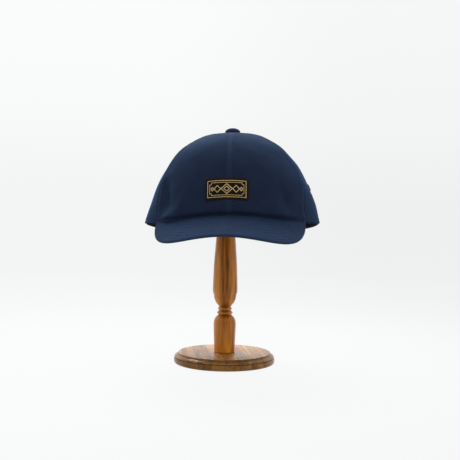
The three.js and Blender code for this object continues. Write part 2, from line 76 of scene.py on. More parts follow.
# Button, patch, air holes, band, back opening, strap and slide, as in the solids
BUTTON_RADIUS = 9.4
BUTTON_HEIGHT = 6.1
LABEL_WIDTH = 48.5
LABEL_HEIGHT = 27
LABEL_SIDE_SHIFT = -2.1
LABEL_TOP_DROP = 60.1
LABEL_THICKNESS = 1
LABEL_ARCH = 1.5
GOLD_HALF_WIDTH = 21.2
GOLD_HALF_HEIGHT = 9.1
GOLD_RISE = 1.1
EYELET_RADIUS = 4.5
EYELET_HOLE_RADIUS = 1.8
EYELET_DROP = 67
EYELET_ANGLE = 90
BAND_HEIGHT = 28
BAND_GAP = 0.6
BAND_THICKNESS = 1.2
BAND_SHOW = 1.2
ARCH_HALF_WIDTH = 38
ARCH_HEIGHT = 46
STRAP_WIDTH = 19
STRAP_THICKNESS = 1.6
STRAP_TUCK = 12
SLIDE_LENGTH = 9
SLIDE_WALL = 1.5
SLIDE_GAP = 0.6

# Stand and the cap's place on it, as in the solids
BASE_RADIUS = 61.4
BASE_BEVEL = 5.6
BASE_HEIGHT = 13
POST_RADIUS = 15.1
POST_LENGTH = 214.3
FIT_GAP = 0.3
HEAD_RADIUS = 55
HEAD_HEIGHT = 50
HEAD_RIM = 6
CAP_SIDE_SHIFT = 6.6
CAP_SIDE_TILT = 0.9

# Detail that only the looks have
SEAM_ALLOWANCE = 6.2
SEAM_RAISE = 0.2
SEAM_SOFTNESS = 1.2
SEAM_GROOVE = 0.32
GROOVE_WIDTH = 0.8
STITCH_DIMPLE = 0.12
DIMPLE_WIDTH = 0.55
STITCH_OFFSET = 3.4
STITCH_LENGTH = 2.7
STITCH_SPACE = 0.7
STITCH_RADIUS = 0.24
EYELET_STRAY = 0.25
PUCKER_LENGTH = 7.5
PUCKER_HEIGHT = 0.14
PUCKER_WIDTH = 4.5
LIP_BULGE = 1.9
LIP_TUCK = 1.3
TWILL_PITCH = 0.85
BINDING_WIDTH = 2.8
BINDING_PROUD = 0.55
BINDING_CORNER = 1.2
ARCH_STITCH_MARGIN = 5.2
RIM_STITCH_RISE = 5.5
STRAP_STITCH_INSET = 2.4
PATCH_STITCH_INSET = 1.5
WEAR_INSET = 1.1
WEAR_WIDTH = 0.9
BAND_EDGE_HEIGHT = 2.6
BAND_EDGE_RAISE = 0.15

# Glued strips of the base, in metres for the shader, and their turn in degrees
STRIP_WIDTH = 0.0155
STRIP_SHIFT = 0.005
STRIP_ANGLE = 10

# Crown sections from the rim to the top. rise is a share of the crown's height, side, front and back are
# shares of the rim's sizes, and the seams give the turn from the front.
SECTIONS = [
    dict(rise=0.0, side=1.0, front=1.0, back=1.0, front_seam=54.5, back_seam=121),
    dict(rise=0.19, side=0.948, front=0.985, back=0.965, front_seam=57, back_seam=121),
    dict(rise=0.37, side=0.883, front=0.955, back=0.915, front_seam=62, back_seam=121),
    dict(rise=0.55, side=0.79, front=0.895, back=0.835, front_seam=66, back_seam=121),
    dict(rise=0.7, side=0.69, front=0.8, back=0.735, front_seam=66, back_seam=121),
    dict(rise=0.82, side=0.58, front=0.67, back=0.61, front_seam=65, back_seam=121),
    dict(rise=0.91, side=0.44, front=0.51, back=0.465, front_seam=63, back_seam=120),
    dict(rise=0.965, side=0.315, front=0.355, back=0.325, front_seam=61, back_seam=120),
    dict(rise=0.989, side=0.18, front=0.2, back=0.19, front_seam=60, back_seam=120),
    dict(rise=1.0, side=0.03, front=0.038, back=0.042, front_seam=60, back_seam=120),
]
TOP_LEVEL = len(SECTIONS) - 1

# Drop of the rim behind the brim, as a share of the crown's depth, by turn from the front
RIM_DROPS = [
    dict(turn=54, drop=1.0),
    dict(turn=90, drop=1.004),
    dict(turn=110, drop=1.036),
    dict(turn=130, drop=1.067),
    dict(turn=155, drop=1.088),
    dict(turn=180, drop=1.092),
]

# Folds: turn at the middle, lean over the whole rise, half width in degrees, the rise where each starts and
# ends, and its depth as a share of FOLD_DEPTH
FOLDS = [
    dict(turn=-50, lean=-38, width=6.5, low=0.03, high=0.52, depth=-1.15),
    dict(turn=-33, lean=14, width=4, low=0.02, high=0.42, depth=0.3),
    dict(turn=-41, lean=0, width=7.5, low=-0.1, high=0.2, depth=0.95),
    dict(turn=40, lean=-6, width=5, low=0.08, high=0.45, depth=-0.55),
    dict(turn=35, lean=0, width=5, low=-0.05, high=0.2, depth=0.3),
    dict(turn=52, lean=0, width=8, low=-0.05, high=0.12, depth=0.25),
    dict(turn=80, lean=0, width=16, low=0.35, high=0.72, depth=0.12),
    dict(turn=90, lean=0, width=18, low=0.62, high=0.88, depth=-0.22),
    dict(turn=-86, lean=0, width=20, low=0.58, high=0.9, depth=0.26),
    dict(turn=-88, lean=0, width=24, low=-0.45, high=0.42, depth=0.34),
    dict(turn=150, lean=10, width=12, low=0.1, high=0.7, depth=-0.4),
    dict(turn=-146, lean=-8, width=14, low=0.05, high=0.6, depth=-0.45),
]

# Turned outline of the post: height and radius as shares of POST_LENGTH and POST_RADIUS. The last column is
# painted light: painted shade in the grooves (below 0) and painted highlights on the ring ridges (above 0)
POST_OUTLINE = [
    dict(up=0.0, radius=0.82, painted_light=0.0),
    dict(up=0.11, radius=0.885, painted_light=0.0),
    dict(up=0.154, radius=0.9, painted_light=0.0),
    dict(up=0.177, radius=0.865, painted_light=0.0),
    dict(up=0.189, radius=0.8, painted_light=0.25),
    dict(up=0.2, radius=0.69, painted_light=-0.2),
    dict(up=0.211, radius=0.53, painted_light=-0.9),
    dict(up=0.222, radius=0.65, painted_light=0.75),
    dict(up=0.234, radius=0.5, painted_light=-0.9),
    dict(up=0.245, radius=0.575, painted_light=0.75),
    dict(up=0.256, radius=0.48, painted_light=-0.9),
    dict(up=0.268, radius=0.61, painted_light=-0.35),
    dict(up=0.28, radius=0.74, painted_light=0.0),
    dict(up=0.302, radius=0.87, painted_light=0.0),
    dict(up=0.326, radius=0.93, painted_light=0.0),
    dict(up=0.348, radius=1.0, painted_light=0.0),
    dict(up=0.416, radius=0.98, painted_light=0.0),
    dict(up=0.507, radius=0.93, painted_light=0.0),
    dict(up=0.6, radius=0.834, painted_light=0.0),
    dict(up=0.7, radius=0.74, painted_light=0.0),
    dict(up=0.85, radius=0.7, painted_light=0.0),
    dict(up=1.0, radius=0.85, painted_light=0.0),
]

# Turned outline of the base: inset from BASE_RADIUS and height as shares of BASE_BEVEL and BASE_HEIGHT. The
# last column is painted shade down the moulded side, darkest in the notch and under the top's edge
BASE_OUTLINE = [
    dict(inset=0.5, up=0.0, painted_light=-0.8),
    dict(inset=0.2, up=0.05, painted_light=-0.7),
    dict(inset=0.04, up=0.15, painted_light=-0.6),
    dict(inset=0.0, up=0.34, painted_light=-0.5),
    dict(inset=0.03, up=0.48, painted_light=-0.45),
    dict(inset=0.1, up=0.53, painted_light=-0.6),
    dict(inset=0.22, up=0.55, painted_light=-0.9),
    dict(inset=0.22, up=0.58, painted_light=-0.9),
    dict(inset=0.12, up=0.61, painted_light=-0.3),
    dict(inset=0.14, up=0.67, painted_light=-0.2),
    dict(inset=0.32, up=0.74, painted_light=-0.5),
    dict(inset=0.6, up=0.81, painted_light=-0.7),
    dict(inset=0.82, up=0.87, painted_light=-0.9),
    dict(inset=0.9, up=0.92, painted_light=-0.7),
    dict(inset=0.93, up=0.985, painted_light=-0.2),
    dict(inset=1.0, up=1.0, painted_light=0.0),
]


def column_of(rows, key):
    return np.array([row[key] for row in rows], float)


def read_column(rows, key, place):
    """Smooth value of one column of a table at a row number that may be a fraction."""
    values = column_of(rows, key)
    last = len(rows) - 1
    place = np.asarray(place, float)
    index = np.clip(np.floor(np.maximum(place, 0)), 0, last - 1).astype(int)
    part = place - index

    def value(row):
        return values[np.clip(row, 0, last)]

    before = (value(index + 1) - value(index - 1)) / 2
    after = (value(index + 2) - value(index)) / 2
    step = value(index + 1) - value(index)
    bend = 3 * step - 2 * before - after
    twist = before + after - 2 * step
    return value(index) + part * (before + part * (bend + part * twist))


def smoothstep(value, low, high):
    share = np.clip((value - low) / (high - low), 0, 1)
    return share * share * (3 - 2 * share)


def signed(turn):
    """Turn from the front between -180 and 180."""
    return (np.asarray(turn, float) + 180) % 360 - 180


def sine(angle):
    return np.sin(np.radians(angle))


def cosine(angle):
    return np.cos(np.radians(angle))


def bell(value, middle, width):
    """Smooth hump of height 1 about a middle value."""
    return np.exp(-(((value - middle) / width) ** 2))


def plateau(value, start, full, ease, end):
    return smoothstep(value, start, full) * (1 - smoothstep(value, ease, end))


def unit(vectors):
    return vectors / np.linalg.norm(vectors, axis=-1, keepdims=True)


def circle(count):
    return np.linspace(0, 2 * math.pi, count, endpoint=False)


def way_along(points):
    """Distance from the first point of a row to each of its points."""
    return np.concatenate([[0], np.linalg.norm(np.diff(points, axis=0), axis=1).cumsum()])


def brim_top(x, y):
    """Height of the brim's upper face over a point in plan."""
    forward = -y - RIM_FRONT_REACH
    share = forward / BRIM_LENGTH
    droop = forward * math.tan(math.radians(BRIM_DROOP))
    twist = x * math.tan(math.radians(BRIM_TWIST)) * np.maximum(share, 0)
    arch = x * x / (2 * BRIM_ARCH_RADIUS) * (1 + BRIM_CLOSING_SHARE * share)
    return BRIM_ROOT_RISE - CROWN_DEPTH - droop - twist - arch


def rim_drop(turn):
    away = np.abs(signed(turn))
    row = np.interp(away, column_of(RIM_DROPS, "turn"), np.arange(len(RIM_DROPS)))
    free = CROWN_DEPTH * read_column(RIM_DROPS, "drop", row)
    front = BRIM_THICKNESS - brim_top(RIM_HALF_WIDTH * sine(turn), -RIM_FRONT_REACH * cosine(turn))
    return front + (free - front) * smoothstep(away, BRIM_END_ANGLE - 8, BRIM_END_ANGLE + 2)


def fold_relief(turn, rise, front_seam):
    """How far the folds and the ridges beside the front seams stand out from the plain shell."""
    out = np.zeros(np.broadcast(turn, rise).shape)
    for fold in FOLDS:
        middle = (fold["low"] + fold["high"]) / 2
        across = (turn - fold["turn"] - fold["lean"] * (rise - middle)) / fold["width"]
        along = (rise - middle) / ((fold["high"] - fold["low"]) / 2)
        fade = np.clip(1 - along * along, 0, None) ** 2
        out = out + FOLD_DEPTH * fold["depth"] * fade * np.exp(-across * across)
    from_seam = np.abs(np.abs(turn) - front_seam)
    band = plateau(rise, 0.1, 0.45, 0.75, 0.97)
    return out + RIDGE_HEIGHT * band * np.exp(-from_seam / RIDGE_SPREAD)


def seam_turns(level):
    """Turns of the six seams at a section row, from the front round by the right."""
    front = read_column(SECTIONS, "front_seam", level)
    back = read_column(SECTIONS, "back_seam", level)
    return [0 * front, front, back, 0 * front + 180, 360 - back, 360 - front]


def sewn_relief(turn, level, rise, per_degree):
    """Raised seam allowances, grooves at the seams and small puckers, in millimetres."""
    out = 0
    climb = rise * CROWN_DEPTH * 1.5
    for number, seam in enumerate(seam_turns(level)):
        away = np.abs(signed(turn - seam)) * per_degree
        side = np.sign(signed(turn - seam))
        raised = 1 - smoothstep(away, SEAM_ALLOWANCE - SEAM_SOFTNESS, SEAM_ALLOWANCE + SEAM_SOFTNESS)
        groove = bell(away, 0, GROOVE_WIDTH)
        dimple = bell(away, STITCH_OFFSET, DIMPLE_WIDTH)
        wave = np.sin(2 * math.pi * climb / PUCKER_LENGTH + 1.7 * number + 0.9 * side)
        wave = wave * (0.6 + 0.4 * np.sin(climb / 9.1 + number))
        pucker = PUCKER_HEIGHT * wave * bell(away, STITCH_OFFSET, PUCKER_WIDTH)
        fade = 1 - smoothstep(rise, 0.975, 0.995)
        out = out + (SEAM_RAISE * raised - SEAM_GROOVE * groove - STITCH_DIMPLE * dimple + pucker) * fade
    return out


def lip_relief(turn, rise):
    """The crown's front edge hangs a little over the brim and tucks in under itself."""
    inside = 1 - smoothstep(np.abs(turn), BRIM_END_ANGLE - 12, BRIM_END_ANGLE - 3)
    bulge = plateau(rise, 0.045, 0.085, 0.1, 0.3)
    tuck = 1 - smoothstep(rise, 0.035, 0.07)
    return inside * (LIP_BULGE * bulge - LIP_TUCK * tuck)


def soft_relief(turn, rise):
    """Slow uneven swells of cloth that isn't stretched quite flat."""
    out = 0
    swells = [
        dict(around=3, up=2, phase=0.4, height=0.25),
        dict(around=5, up=-2, phase=2.1, height=0.2),
        dict(around=8, up=3, phase=4.0, height=0.1),
        dict(around=12, up=-4, phase=1.2, height=0.07),
    ]
    for swell in swells:
        angle = np.radians(turn) * swell["around"] + 2 * math.pi * swell["up"] * rise + swell["phase"]
        out = out + swell["height"] * np.sin(angle)
    return out * (1 - smoothstep(rise, 0.85, 0.98))


def crown_point(turn, level, sewn=False):
    """Points on the outside of the crown. sewn adds the detail that only the looks have."""
    turn, level = np.broadcast_arrays(np.asarray(turn, float), np.asarray(level, float))
    turn = signed(turn)
    rise = read_column(SECTIONS, "rise", level)
    wide = RIM_HALF_WIDTH * read_column(SECTIONS, "side", level)
    front = RIM_FRONT_REACH * read_column(SECTIONS, "front", level)
    back = RIM_BACK_REACH * read_column(SECTIONS, "back", level)
    reach = np.where(cosine(turn) > 0, front, back)
    outward = np.stack([reach * sine(turn), -wide * cosine(turn), 0 * turn], -1)
    outward = unit(outward)
    relief = fold_relief(turn, rise, read_column(SECTIONS, "front_seam", level))
    if sewn:
        per_degree = np.radians(1) * np.hypot(wide * cosine(turn), reach * sine(turn))
        relief = relief + sewn_relief(turn, level, rise, per_degree)
        relief = relief + lip_relief(turn, rise) + soft_relief(turn, rise)
    point = np.stack([wide * sine(turn), -reach * cosine(turn), -rim_drop(turn) * (1 - rise)], -1)
    return point + outward * relief[..., None]


def crown_normal(turn, level):
    step = 0.02
    high = np.minimum(level + step, TOP_LEVEL)
    along = crown_point(turn + 1, level) - crown_point(turn - 1, level)
    up = crown_point(turn, high) - crown_point(turn, high - 2 * step)
    normal = np.cross(along, up)
    return unit(normal)


def shell_point(turn, level, distance):
    return crown_point(turn, level) + crown_normal(turn, level) * distance


def level_at_drop(turn, drop):
    """Section row at which the crown lies at a given drop below its top."""
    turn, drop = np.broadcast_arrays(np.asarray(turn, float), np.asarray(drop, float))
    low = np.full(turn.shape, -0.5)
    high = np.full(turn.shape, float(TOP_LEVEL))
    for _ in range(26):
        middle = (low + high) / 2
        below = -crown_point(turn, middle)[..., 2] > drop
        low = np.where(below, middle, low)
        high = np.where(below, high, middle)
    return (low + high) / 2


def back_turn_and_level(x, drop):
    """Turn and section row of a point at the back, by its sideways distance and its drop below the top."""
    turn = 180 - np.degrees(np.arcsin(x / RIM_HALF_WIDTH))
    for _ in range(5):
        wide = RIM_HALF_WIDTH * read_column(SECTIONS, "side", level_at_drop(turn, drop))
        turn = 180 - np.degrees(np.arcsin(np.clip(x / wide, -1, 1)))
    return turn, level_at_drop(turn, drop)


def arch_turn(margin):
    """Turn of a place beside the back opening, by how far it lies outside the opening's edge."""
    return 180 - math.degrees(math.asin((ARCH_HALF_WIDTH + margin) / RIM_HALF_WIDTH))


# The cap leans a little on the stand, and its button in the solids says how high it sits
tilt = Matrix.Rotation(math.radians(-CAP_SIDE_TILT), 3, "Y")
TILT = np.array(tilt)
button_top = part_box("button")[1].z * 1000
SEAT = button_top - (BUTTON_HEIGHT + SEAM_GAP) * math.cos(math.radians(CAP_SIDE_TILT))
CAP_PLACE = np.array([CAP_SIDE_SHIFT, 0, SEAT])


def on_stand(points):
    """From the cap's own frame to the model's frame."""
    return np.asarray(points) @ TILT.T + CAP_PLACE


def way_out(turn, level):
    return crown_normal(turn, level) @ TILT.T


def sewn_run(turn, level):
    """Points of a run of thread on the cloth and the ways out of the cloth, in the model's frame."""
    return on_stand(crown_point(turn, level, sewn=True)), way_out(turn, level)


# Meshes
def put(name, data):
    """A new object in the scene."""
    thing = bpy.data.objects.new(name, data)
    bpy.context.scene.collection.objects.link(thing)
    return thing


def make_object(name, points, faces, material, weave=None):
    """points in millimetres in the model's frame; weave holds the cloth's own flat sizes and wear for the
    shader, or on the stand the painted light.
    """
    mesh = bpy.data.meshes.new(name)
    mesh.from_pydata((np.asarray(points).reshape(-1, 3) / 1000).tolist(), [], faces)
    mesh.polygons.foreach_set("use_smooth", np.ones(len(mesh.polygons), bool))
    if weave is not None:
        layer = mesh.attributes.new("weave", "FLOAT_VECTOR", "POINT")
        layer.data.foreach_set("vector", np.asarray(weave, np.float32).ravel())
    mesh.materials.append(material)
    mesh.update()
    piece = put(name, mesh)
    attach(piece, "root")
    return piece


def grid_faces(rows, columns, start=0, flip=False):
    index = start + np.arange(rows * columns).reshape(rows, columns)
    corners = [index[:-1, :-1], index[:-1, 1:], index[1:, 1:], index[1:, :-1]]
    if flip:
        corners.reverse()
    return np.stack([corner.ravel() for corner in corners], -1).tolist()


def solid_between(outer, inner):
    """Points and faces of a closed solid between two grids, columns to the right and rows upward."""
    rows, columns = outer.shape[:2]
    count = rows * columns
    faces = grid_faces(rows, columns) + grid_faces(rows, columns, count, flip=True)
    index = np.arange(count).reshape(rows, columns)
    edge = np.concatenate([index[0, :-1], index[:-1, -1], index[-1, :0:-1], index[:0:-1, 0]])
    ahead = np.roll(edge, -1)
    faces += np.stack([edge, edge + count, ahead + count, ahead], -1).tolist()
    return np.concatenate([outer.reshape(-1, 3), inner.reshape(-1, 3)]), faces


def weave_sizes(grid, wear=0):
    """Distance along the columns and rows of a grid in millimetres, with the wear as a third number."""
    sizes = np.zeros(grid.shape)
    sizes[:, 1:, 0] = np.linalg.norm(np.diff(grid, axis=1), axis=-1).cumsum(1)
    sizes[..., 0] -= sizes[:, [grid.shape[1] // 2], 0]
    sizes[1:, :, 1] = np.linalg.norm(np.diff(grid, axis=0), axis=-1).cumsum(0)
    sizes[..., 2] = wear
    return sizes.reshape(-1, 3)


def loft(loops, closed=False):
    """Faces over a row of closed loops, capped at both ends unless the row itself closes."""
    count, size = loops.shape[:2]
    index = np.arange(count * size).reshape(count, size)
    nxt = np.roll(index, -1, axis=1)
    last = count if closed else count - 1
    following = np.roll(index, -1, axis=0)
    following_nxt = np.roll(nxt, -1, axis=0)
    corners = [index[:last], nxt[:last], following_nxt[:last], following[:last]]
    faces = np.stack([corner.ravel() for corner in corners], -1).tolist()
    if not closed:
        faces += [index[0][::-1].tolist(), index[-1].tolist()]
    return faces


THREAD_RINGS = [
    dict(at=0.0, size=0.35, sink=0.8),
    dict(at=0.18, size=0.95, sink=0.1),
    dict(at=0.5, size=1.0, sink=0.0),
    dict(at=0.82, size=0.95, sink=0.1),
    dict(at=1.0, size=0.35, sink=0.8),
]


def faces_of_all(threads):
    """Faces of many lofts of one make, whose points follow each other."""
    one, size = loft(threads[0]), threads[0].size // 3
    return [[corner + size * number for corner in face] for number in range(len(threads)) for face in one]


def lay_threads(name, centres, outs, radius, material):
    """Short threads, each a row of ring centres with the way out of the cloth, half sunk in it."""
    sides = 6
    around = circle(sides)
    along = centres[:, -1] - centres[:, 0]
    along = unit(along)
    outs = unit(outs)
    side = np.cross(along, outs)
    sink = column_of(THREAD_RINGS, "sink")[None, :, None]
    middle = centres + outs[:, None] * radius * (0.35 - sink)
    ring = np.cos(around)[None, :, None] * side[:, None] + np.sin(around)[None, :, None] * outs[:, None]
    size = column_of(THREAD_RINGS, "size")[None, :, None, None]
    points = middle[:, :, None] + radius * size * ring[:, None]
    return make_object(name, points, faces_of_all(points), material)


def stitches(name, runs, material, length=STITCH_LENGTH, space=STITCH_SPACE, radius=STITCH_RADIUS):
    """Separate stitches laid along runs of (points, normals)."""
    places = length * column_of(THREAD_RINGS, "at")
    centres, outs = [], []
    for path, normals in runs:
        distance = way_along(path)
        starts = np.arange(space, distance[-1] - length, length + space)

        def at(values, where):
            return np.stack([np.interp(where, distance, values[:, axis]) for axis in range(3)], -1)

        centres.append(at(path, starts[:, None] + places[None]))
        outs.append(at(normals, starts + length / 2))
    return lay_threads(name, np.concatenate(centres), np.concatenate(outs), radius, material)


# Shaders
def feed(tree, node, inputs):
    """Sets a node's inputs; an input that is another node's output is linked."""
    for key, value in inputs.items():
        socket = node.inputs[key]
        if isinstance(value, bpy.types.NodeSocket):
            tree.links.new(value, socket)
        else:
            socket.default_value = value


def add_node(tree, kind, settings=None, inputs=None):
    node = tree.nodes.new("ShaderNode" + kind)
    for key, value in (settings or {}).items():
        setattr(node, key, value)
    feed(tree, node, inputs or {})
    return node


def reckon(tree, operation, *values):
    node = add_node(tree, "Math", {"operation": operation}, dict(enumerate(values)))
    return node.outputs[0]


def noise(tree, vector, scale, detail, roughness=0.5, distortion=0.0):
    inputs = {"Vector": vector, "Scale": scale, "Detail": detail, "Roughness": roughness}
    inputs["Distortion"] = distortion
    return add_node(tree, "TexNoise", None, inputs).outputs["Fac"]


def spread(tree, vector, scale, rotation=(0, 0, 0)):
    inputs = {"Vector": vector, "Scale": scale, "Rotation": rotation}
    return add_node(tree, "Mapping", None, inputs).outputs[0]


def colours(tree, share, stops):
    node = add_node(tree, "ValToRGB", None, {"Fac": share})
    ramp = node.color_ramp
    ramp.elements.remove(ramp.elements[1])
    ramp.elements[0].position = stops[0]["at"]
    for stop in stops[1:]:
        ramp.elements.new(stop["at"])
    for element, stop in zip(ramp.elements, stops):
        element.color = (*stop["colour"], 1)
    return node.outputs[0]


def blend(tree, share, first, second):
    """Mixes a plain second colour into the first."""
    inputs = {"Factor": share, 6: first, 7: (*second, 1)}
    return add_node(tree, "Mix", {"data_type": "RGBA"}, inputs).outputs[2]


def bump(tree, height, distance, strength):
    inputs = {"Height": height, "Distance": distance, "Strength": strength}
    return add_node(tree, "Bump", None, inputs).outputs[0]


def read_weave(tree):
    """The weave numbers of a mesh, whole and in their three parts."""
    weave = add_node(tree, "Attribute", {"attribute_name": "weave"}).outputs["Vector"]
    return weave, *add_node(tree, "SeparateXYZ", None, {0: weave}).outputs


def read_place(tree):
    return add_node(tree, "TexCoord").outputs["Object"]


def new_material(name):
    material = bpy.data.materials.new(name)
    material.use_nodes = True
    return material, material.node_tree, material.node_tree.nodes["Principled BSDF"]


def cloth_material(name, dark, light, worn, pitch):
    """Twill: fine diagonal ribs, uneven dye, and lighter cloth where the wear number is high."""
    material, tree, surface = new_material(name)
    weave, across, up, wear = read_weave(tree)
    slant = reckon(tree, "MULTIPLY_ADD", up, 0.62, across)
    wobble = noise(tree, weave, scale=0.35, detail=2)
    slant = reckon(tree, "MULTIPLY_ADD", wobble, 1.2, slant)
    rib = reckon(tree, "SINE", reckon(tree, "MULTIPLY", slant, 2 * math.pi / pitch))
    pick = reckon(tree, "SINE", reckon(tree, "MULTIPLY", up, 2 * math.pi / (pitch * 0.55)))
    height = reckon(tree, "MULTIPLY_ADD", pick, 0.35, rib)
    slub = noise(tree, spread(tree, weave, (2.4, 0.5, 1)), scale=1, detail=4, roughness=0.6)
    height = reckon(tree, "MULTIPLY_ADD", slub, 1.3, height)
    dye = noise(tree, weave, scale=0.055, detail=4, roughness=0.55)
    share = reckon(tree, "ADD", reckon(tree, "MULTIPLY", dye, 0.9), reckon(tree, "MULTIPLY", rib, 0.09))
    share = reckon(tree, "MULTIPLY_ADD", slub, 0.3, share)
    share = reckon(tree, "SUBTRACT", share, 0.15)
    colour = colours(tree, share, [dict(at=0.15, colour=dark), dict(at=0.85, colour=light)])
    patchy = reckon(tree, "MULTIPLY", wear, reckon(tree, "ADD", 0.35, slub))
    normal = bump(tree, height, distance=0.00006, strength=0.8)
    look = {"Base Color": blend(tree, patchy, colour, worn), "Normal": normal}
    constants = {"Roughness": 0.9, "Specular IOR Level": 0.03}
    sheen = {"Sheen Weight": 0.1, "Sheen Roughness": 0.45, "Sheen Tint": (0.12, 0.45, 1, 1)}
    feed(tree, surface, {**look, **constants, **sheen})
    return material


def thread_material(name, dark, light, roughness, sheen, shine, period):
    """Twisted thread: fine bright and dark turns."""
    material, tree, surface = new_material(name)
    place = read_place(tree)
    wave = {"Vector": place, "Scale": 0.05 / period}
    twist = add_node(tree, "TexWave", {"bands_direction": "DIAGONAL"}, wave).outputs["Fac"]
    share = reckon(tree, "MULTIPLY", noise(tree, place, scale=900, detail=2), 0.6)
    share = reckon(tree, "ADD", reckon(tree, "MULTIPLY", twist, 0.5), share)
    colour = colours(tree, share, [dict(at=0.1, colour=dark), dict(at=0.9, colour=light)])
    normal = bump(tree, share, distance=0.00008, strength=0.6)
    look = {"Base Color": colour, "Normal": normal, "Specular IOR Level": shine}
    feed(tree, surface, {**look, "Roughness": roughness, "Sheen Weight": sheen, "Sheen Roughness": 0.4})
    return material


def wood_material(name, stops, stretch, streak_scale, coat, strips=False):
    """Varnished wood with long grain and pores, painted shade in hollows and painted highlights on ridges;
    strips makes it of glued strips.
    """
    material, tree, surface = new_material(name)
    place = read_place(tree)
    painted_light = read_weave(tree)[-1]
    # Painted light from the last weave number: painted shade below 0, painted highlight above 0; the strips'
    # tone and joints fade where the shade is painted
    painted_shade = reckon(tree, "MAXIMUM", reckon(tree, "MULTIPLY", painted_light, -1.0), 0.0)
    painted_highlight = reckon(tree, "MAXIMUM", painted_light, 0.0)
    plain = reckon(tree, "SUBTRACT", 1.0, reckon(tree, "MULTIPLY", painted_shade, 2.0))
    plain = reckon(tree, "MAXIMUM", plain, 0.0)
    if strips:
        place = spread(tree, place, (1, 1, 1), (0, 0, math.radians(-STRIP_ANGLE)))
        parts = add_node(tree, "SeparateXYZ", None, {0: place})
        number = reckon(tree, "DIVIDE", reckon(tree, "ADD", parts.outputs[0], STRIP_SHIFT), STRIP_WIDTH)
        strip = reckon(tree, "FLOOR", number)
        random = add_node(tree, "TexWhiteNoise", {"noise_dimensions": "1D"}, {"W": strip})
        away = reckon(tree, "ABSOLUTE", reckon(tree, "SUBTRACT", reckon(tree, "FRACT", number), 0.5))
        joint = reckon(tree, "MULTIPLY", reckon(tree, "GREATER_THAN", away, 0.47), plain)
        scaled = {0: random.outputs["Color"], "Scale": 0.9}
        shift = add_node(tree, "VectorMath", {"operation": "SCALE"}, scaled).outputs[0]
        moved = {0: place, 1: shift}
        place = add_node(tree, "VectorMath", {"operation": "ADD"}, moved).outputs[0]
    long = spread(tree, place, stretch)
    streak = noise(tree, long, streak_scale, detail=4, roughness=0.6, distortion=0.9)
    grain = noise(tree, long, streak_scale * 6, detail=3, roughness=0.7, distortion=0.2)
    share = reckon(tree, "MULTIPLY", streak, 0.76)
    share = reckon(tree, "MULTIPLY_ADD", grain, 0.24, share)
    height = reckon(tree, "MULTIPLY", grain, 0.5)
    if strips:
        tone = reckon(tree, "MULTIPLY", reckon(tree, "SUBTRACT", random.outputs["Value"], 0.5), plain)
        share = reckon(tree, "MULTIPLY_ADD", tone, 0.13, share)
        height = reckon(tree, "SUBTRACT", height, joint)
    colour = colours(tree, share, stops)
    darkest = stops[0]["colour"]
    pores = noise(tree, long, streak_scale * 16, detail=2, roughness=0.6)
    dark_pores = reckon(tree, "MULTIPLY", reckon(tree, "GREATER_THAN", pores, 0.62), 0.2)
    colour = blend(tree, dark_pores, colour, darkest)
    if strips:
        colour = blend(tree, reckon(tree, "MULTIPLY", joint, 0.75), colour, darkest)
    # Painted shade pulls the colour to the darkest stop, painted highlight to the lightest
    colour = blend(tree, reckon(tree, "MULTIPLY", painted_shade, 0.8), colour, darkest)
    colour = blend(tree, reckon(tree, "MULTIPLY", painted_highlight, 0.6), colour, stops[-1]["colour"])
    smear = noise(tree, place, scale=45, detail=3)
    rough = add_node(tree, "MapRange", None, {"Value": smear, "To Min": 0.2, "To Max": 0.42}).outputs[0]
    normal = bump(tree, height, distance=0.00012, strength=0.5)
    look = {"Base Color": colour, "Normal": normal, "Roughness": rough}
    feed(tree, surface, {**look, "Coat Weight": coat, "Coat Roughness": 0.1, "Specular IOR Level": 2 * coat})
    return material


def brass_material():
    material, tree, surface = new_material("brass")
    place = spread(tree, read_place(tree), (1, 1, 6))
    smear = noise(tree, place, scale=160, detail=4, roughness=0.6)
    rough = add_node(tree, "MapRange", None, {"Value": smear, "To Min": 0.25, "To Max": 0.5}).outputs[0]
    normal = bump(tree, smear, distance=0.00005, strength=0.4)
    look = {"Base Color": colours(tree, smear, BRASS_STOPS), "Normal": normal}
    feed(tree, surface, {**look, "Roughness": rough, "Metallic": 1.0})
    return material


CLOTHS = dict(
    twill=dict(dark=(0.0135, 0.0215, 0.046), light=(0.021, 0.0325, 0.068), worn=(0.035, 0.055, 0.105)),
    band=dict(dark=(0.008, 0.0075, 0.009), light=(0.015, 0.0135, 0.015), worn=(0.027, 0.023, 0.02)),
    band_edge=dict(dark=(0.012, 0.008, 0.006), light=(0.022, 0.014, 0.01), worn=(0.04, 0.026, 0.018)),
    label_ground=dict(dark=(0.012, 0.01, 0.009), light=(0.022, 0.018, 0.014), worn=(0.05, 0.036, 0.02)),
)
PITCHES = dict(twill=TWILL_PITCH, band=0.6, band_edge=0.6, label_ground=0.4)
NAVY_LOOK = dict(roughness=0.8, sheen=0.05, shine=0.04, period=0.0005)
GOLD_LOOK = dict(roughness=0.45, sheen=0.1, shine=0.5, period=0.0003)
BASE_STOPS = [
    dict(at=0.3, colour=(0.09, 0.034, 0.008)),
    dict(at=0.5, colour=(0.31, 0.14, 0.036)),
    dict(at=0.72, colour=(0.58, 0.31, 0.1)),
]
POST_STOPS = [
    dict(at=0.36, colour=(0.13, 0.034, 0.004)),
    dict(at=0.49, colour=(0.6, 0.195, 0.014)),
    dict(at=0.62, colour=(0.92, 0.4, 0.05)),
]
BASE_GRAIN = dict(stretch=(1, 0.09, 1), streak_scale=60, coat=0.075, strips=True)
POST_GRAIN = dict(stretch=(1, 1, 0.07), streak_scale=42, coat=0.14)
BRASS_STOPS = [dict(at=0.3, colour=(0.3, 0.18, 0.05)), dict(at=0.7, colour=(0.55, 0.36, 0.12))]
cloths = [cloth_material(name, **look, pitch=PITCHES[name]) for name, look in CLOTHS.items()]
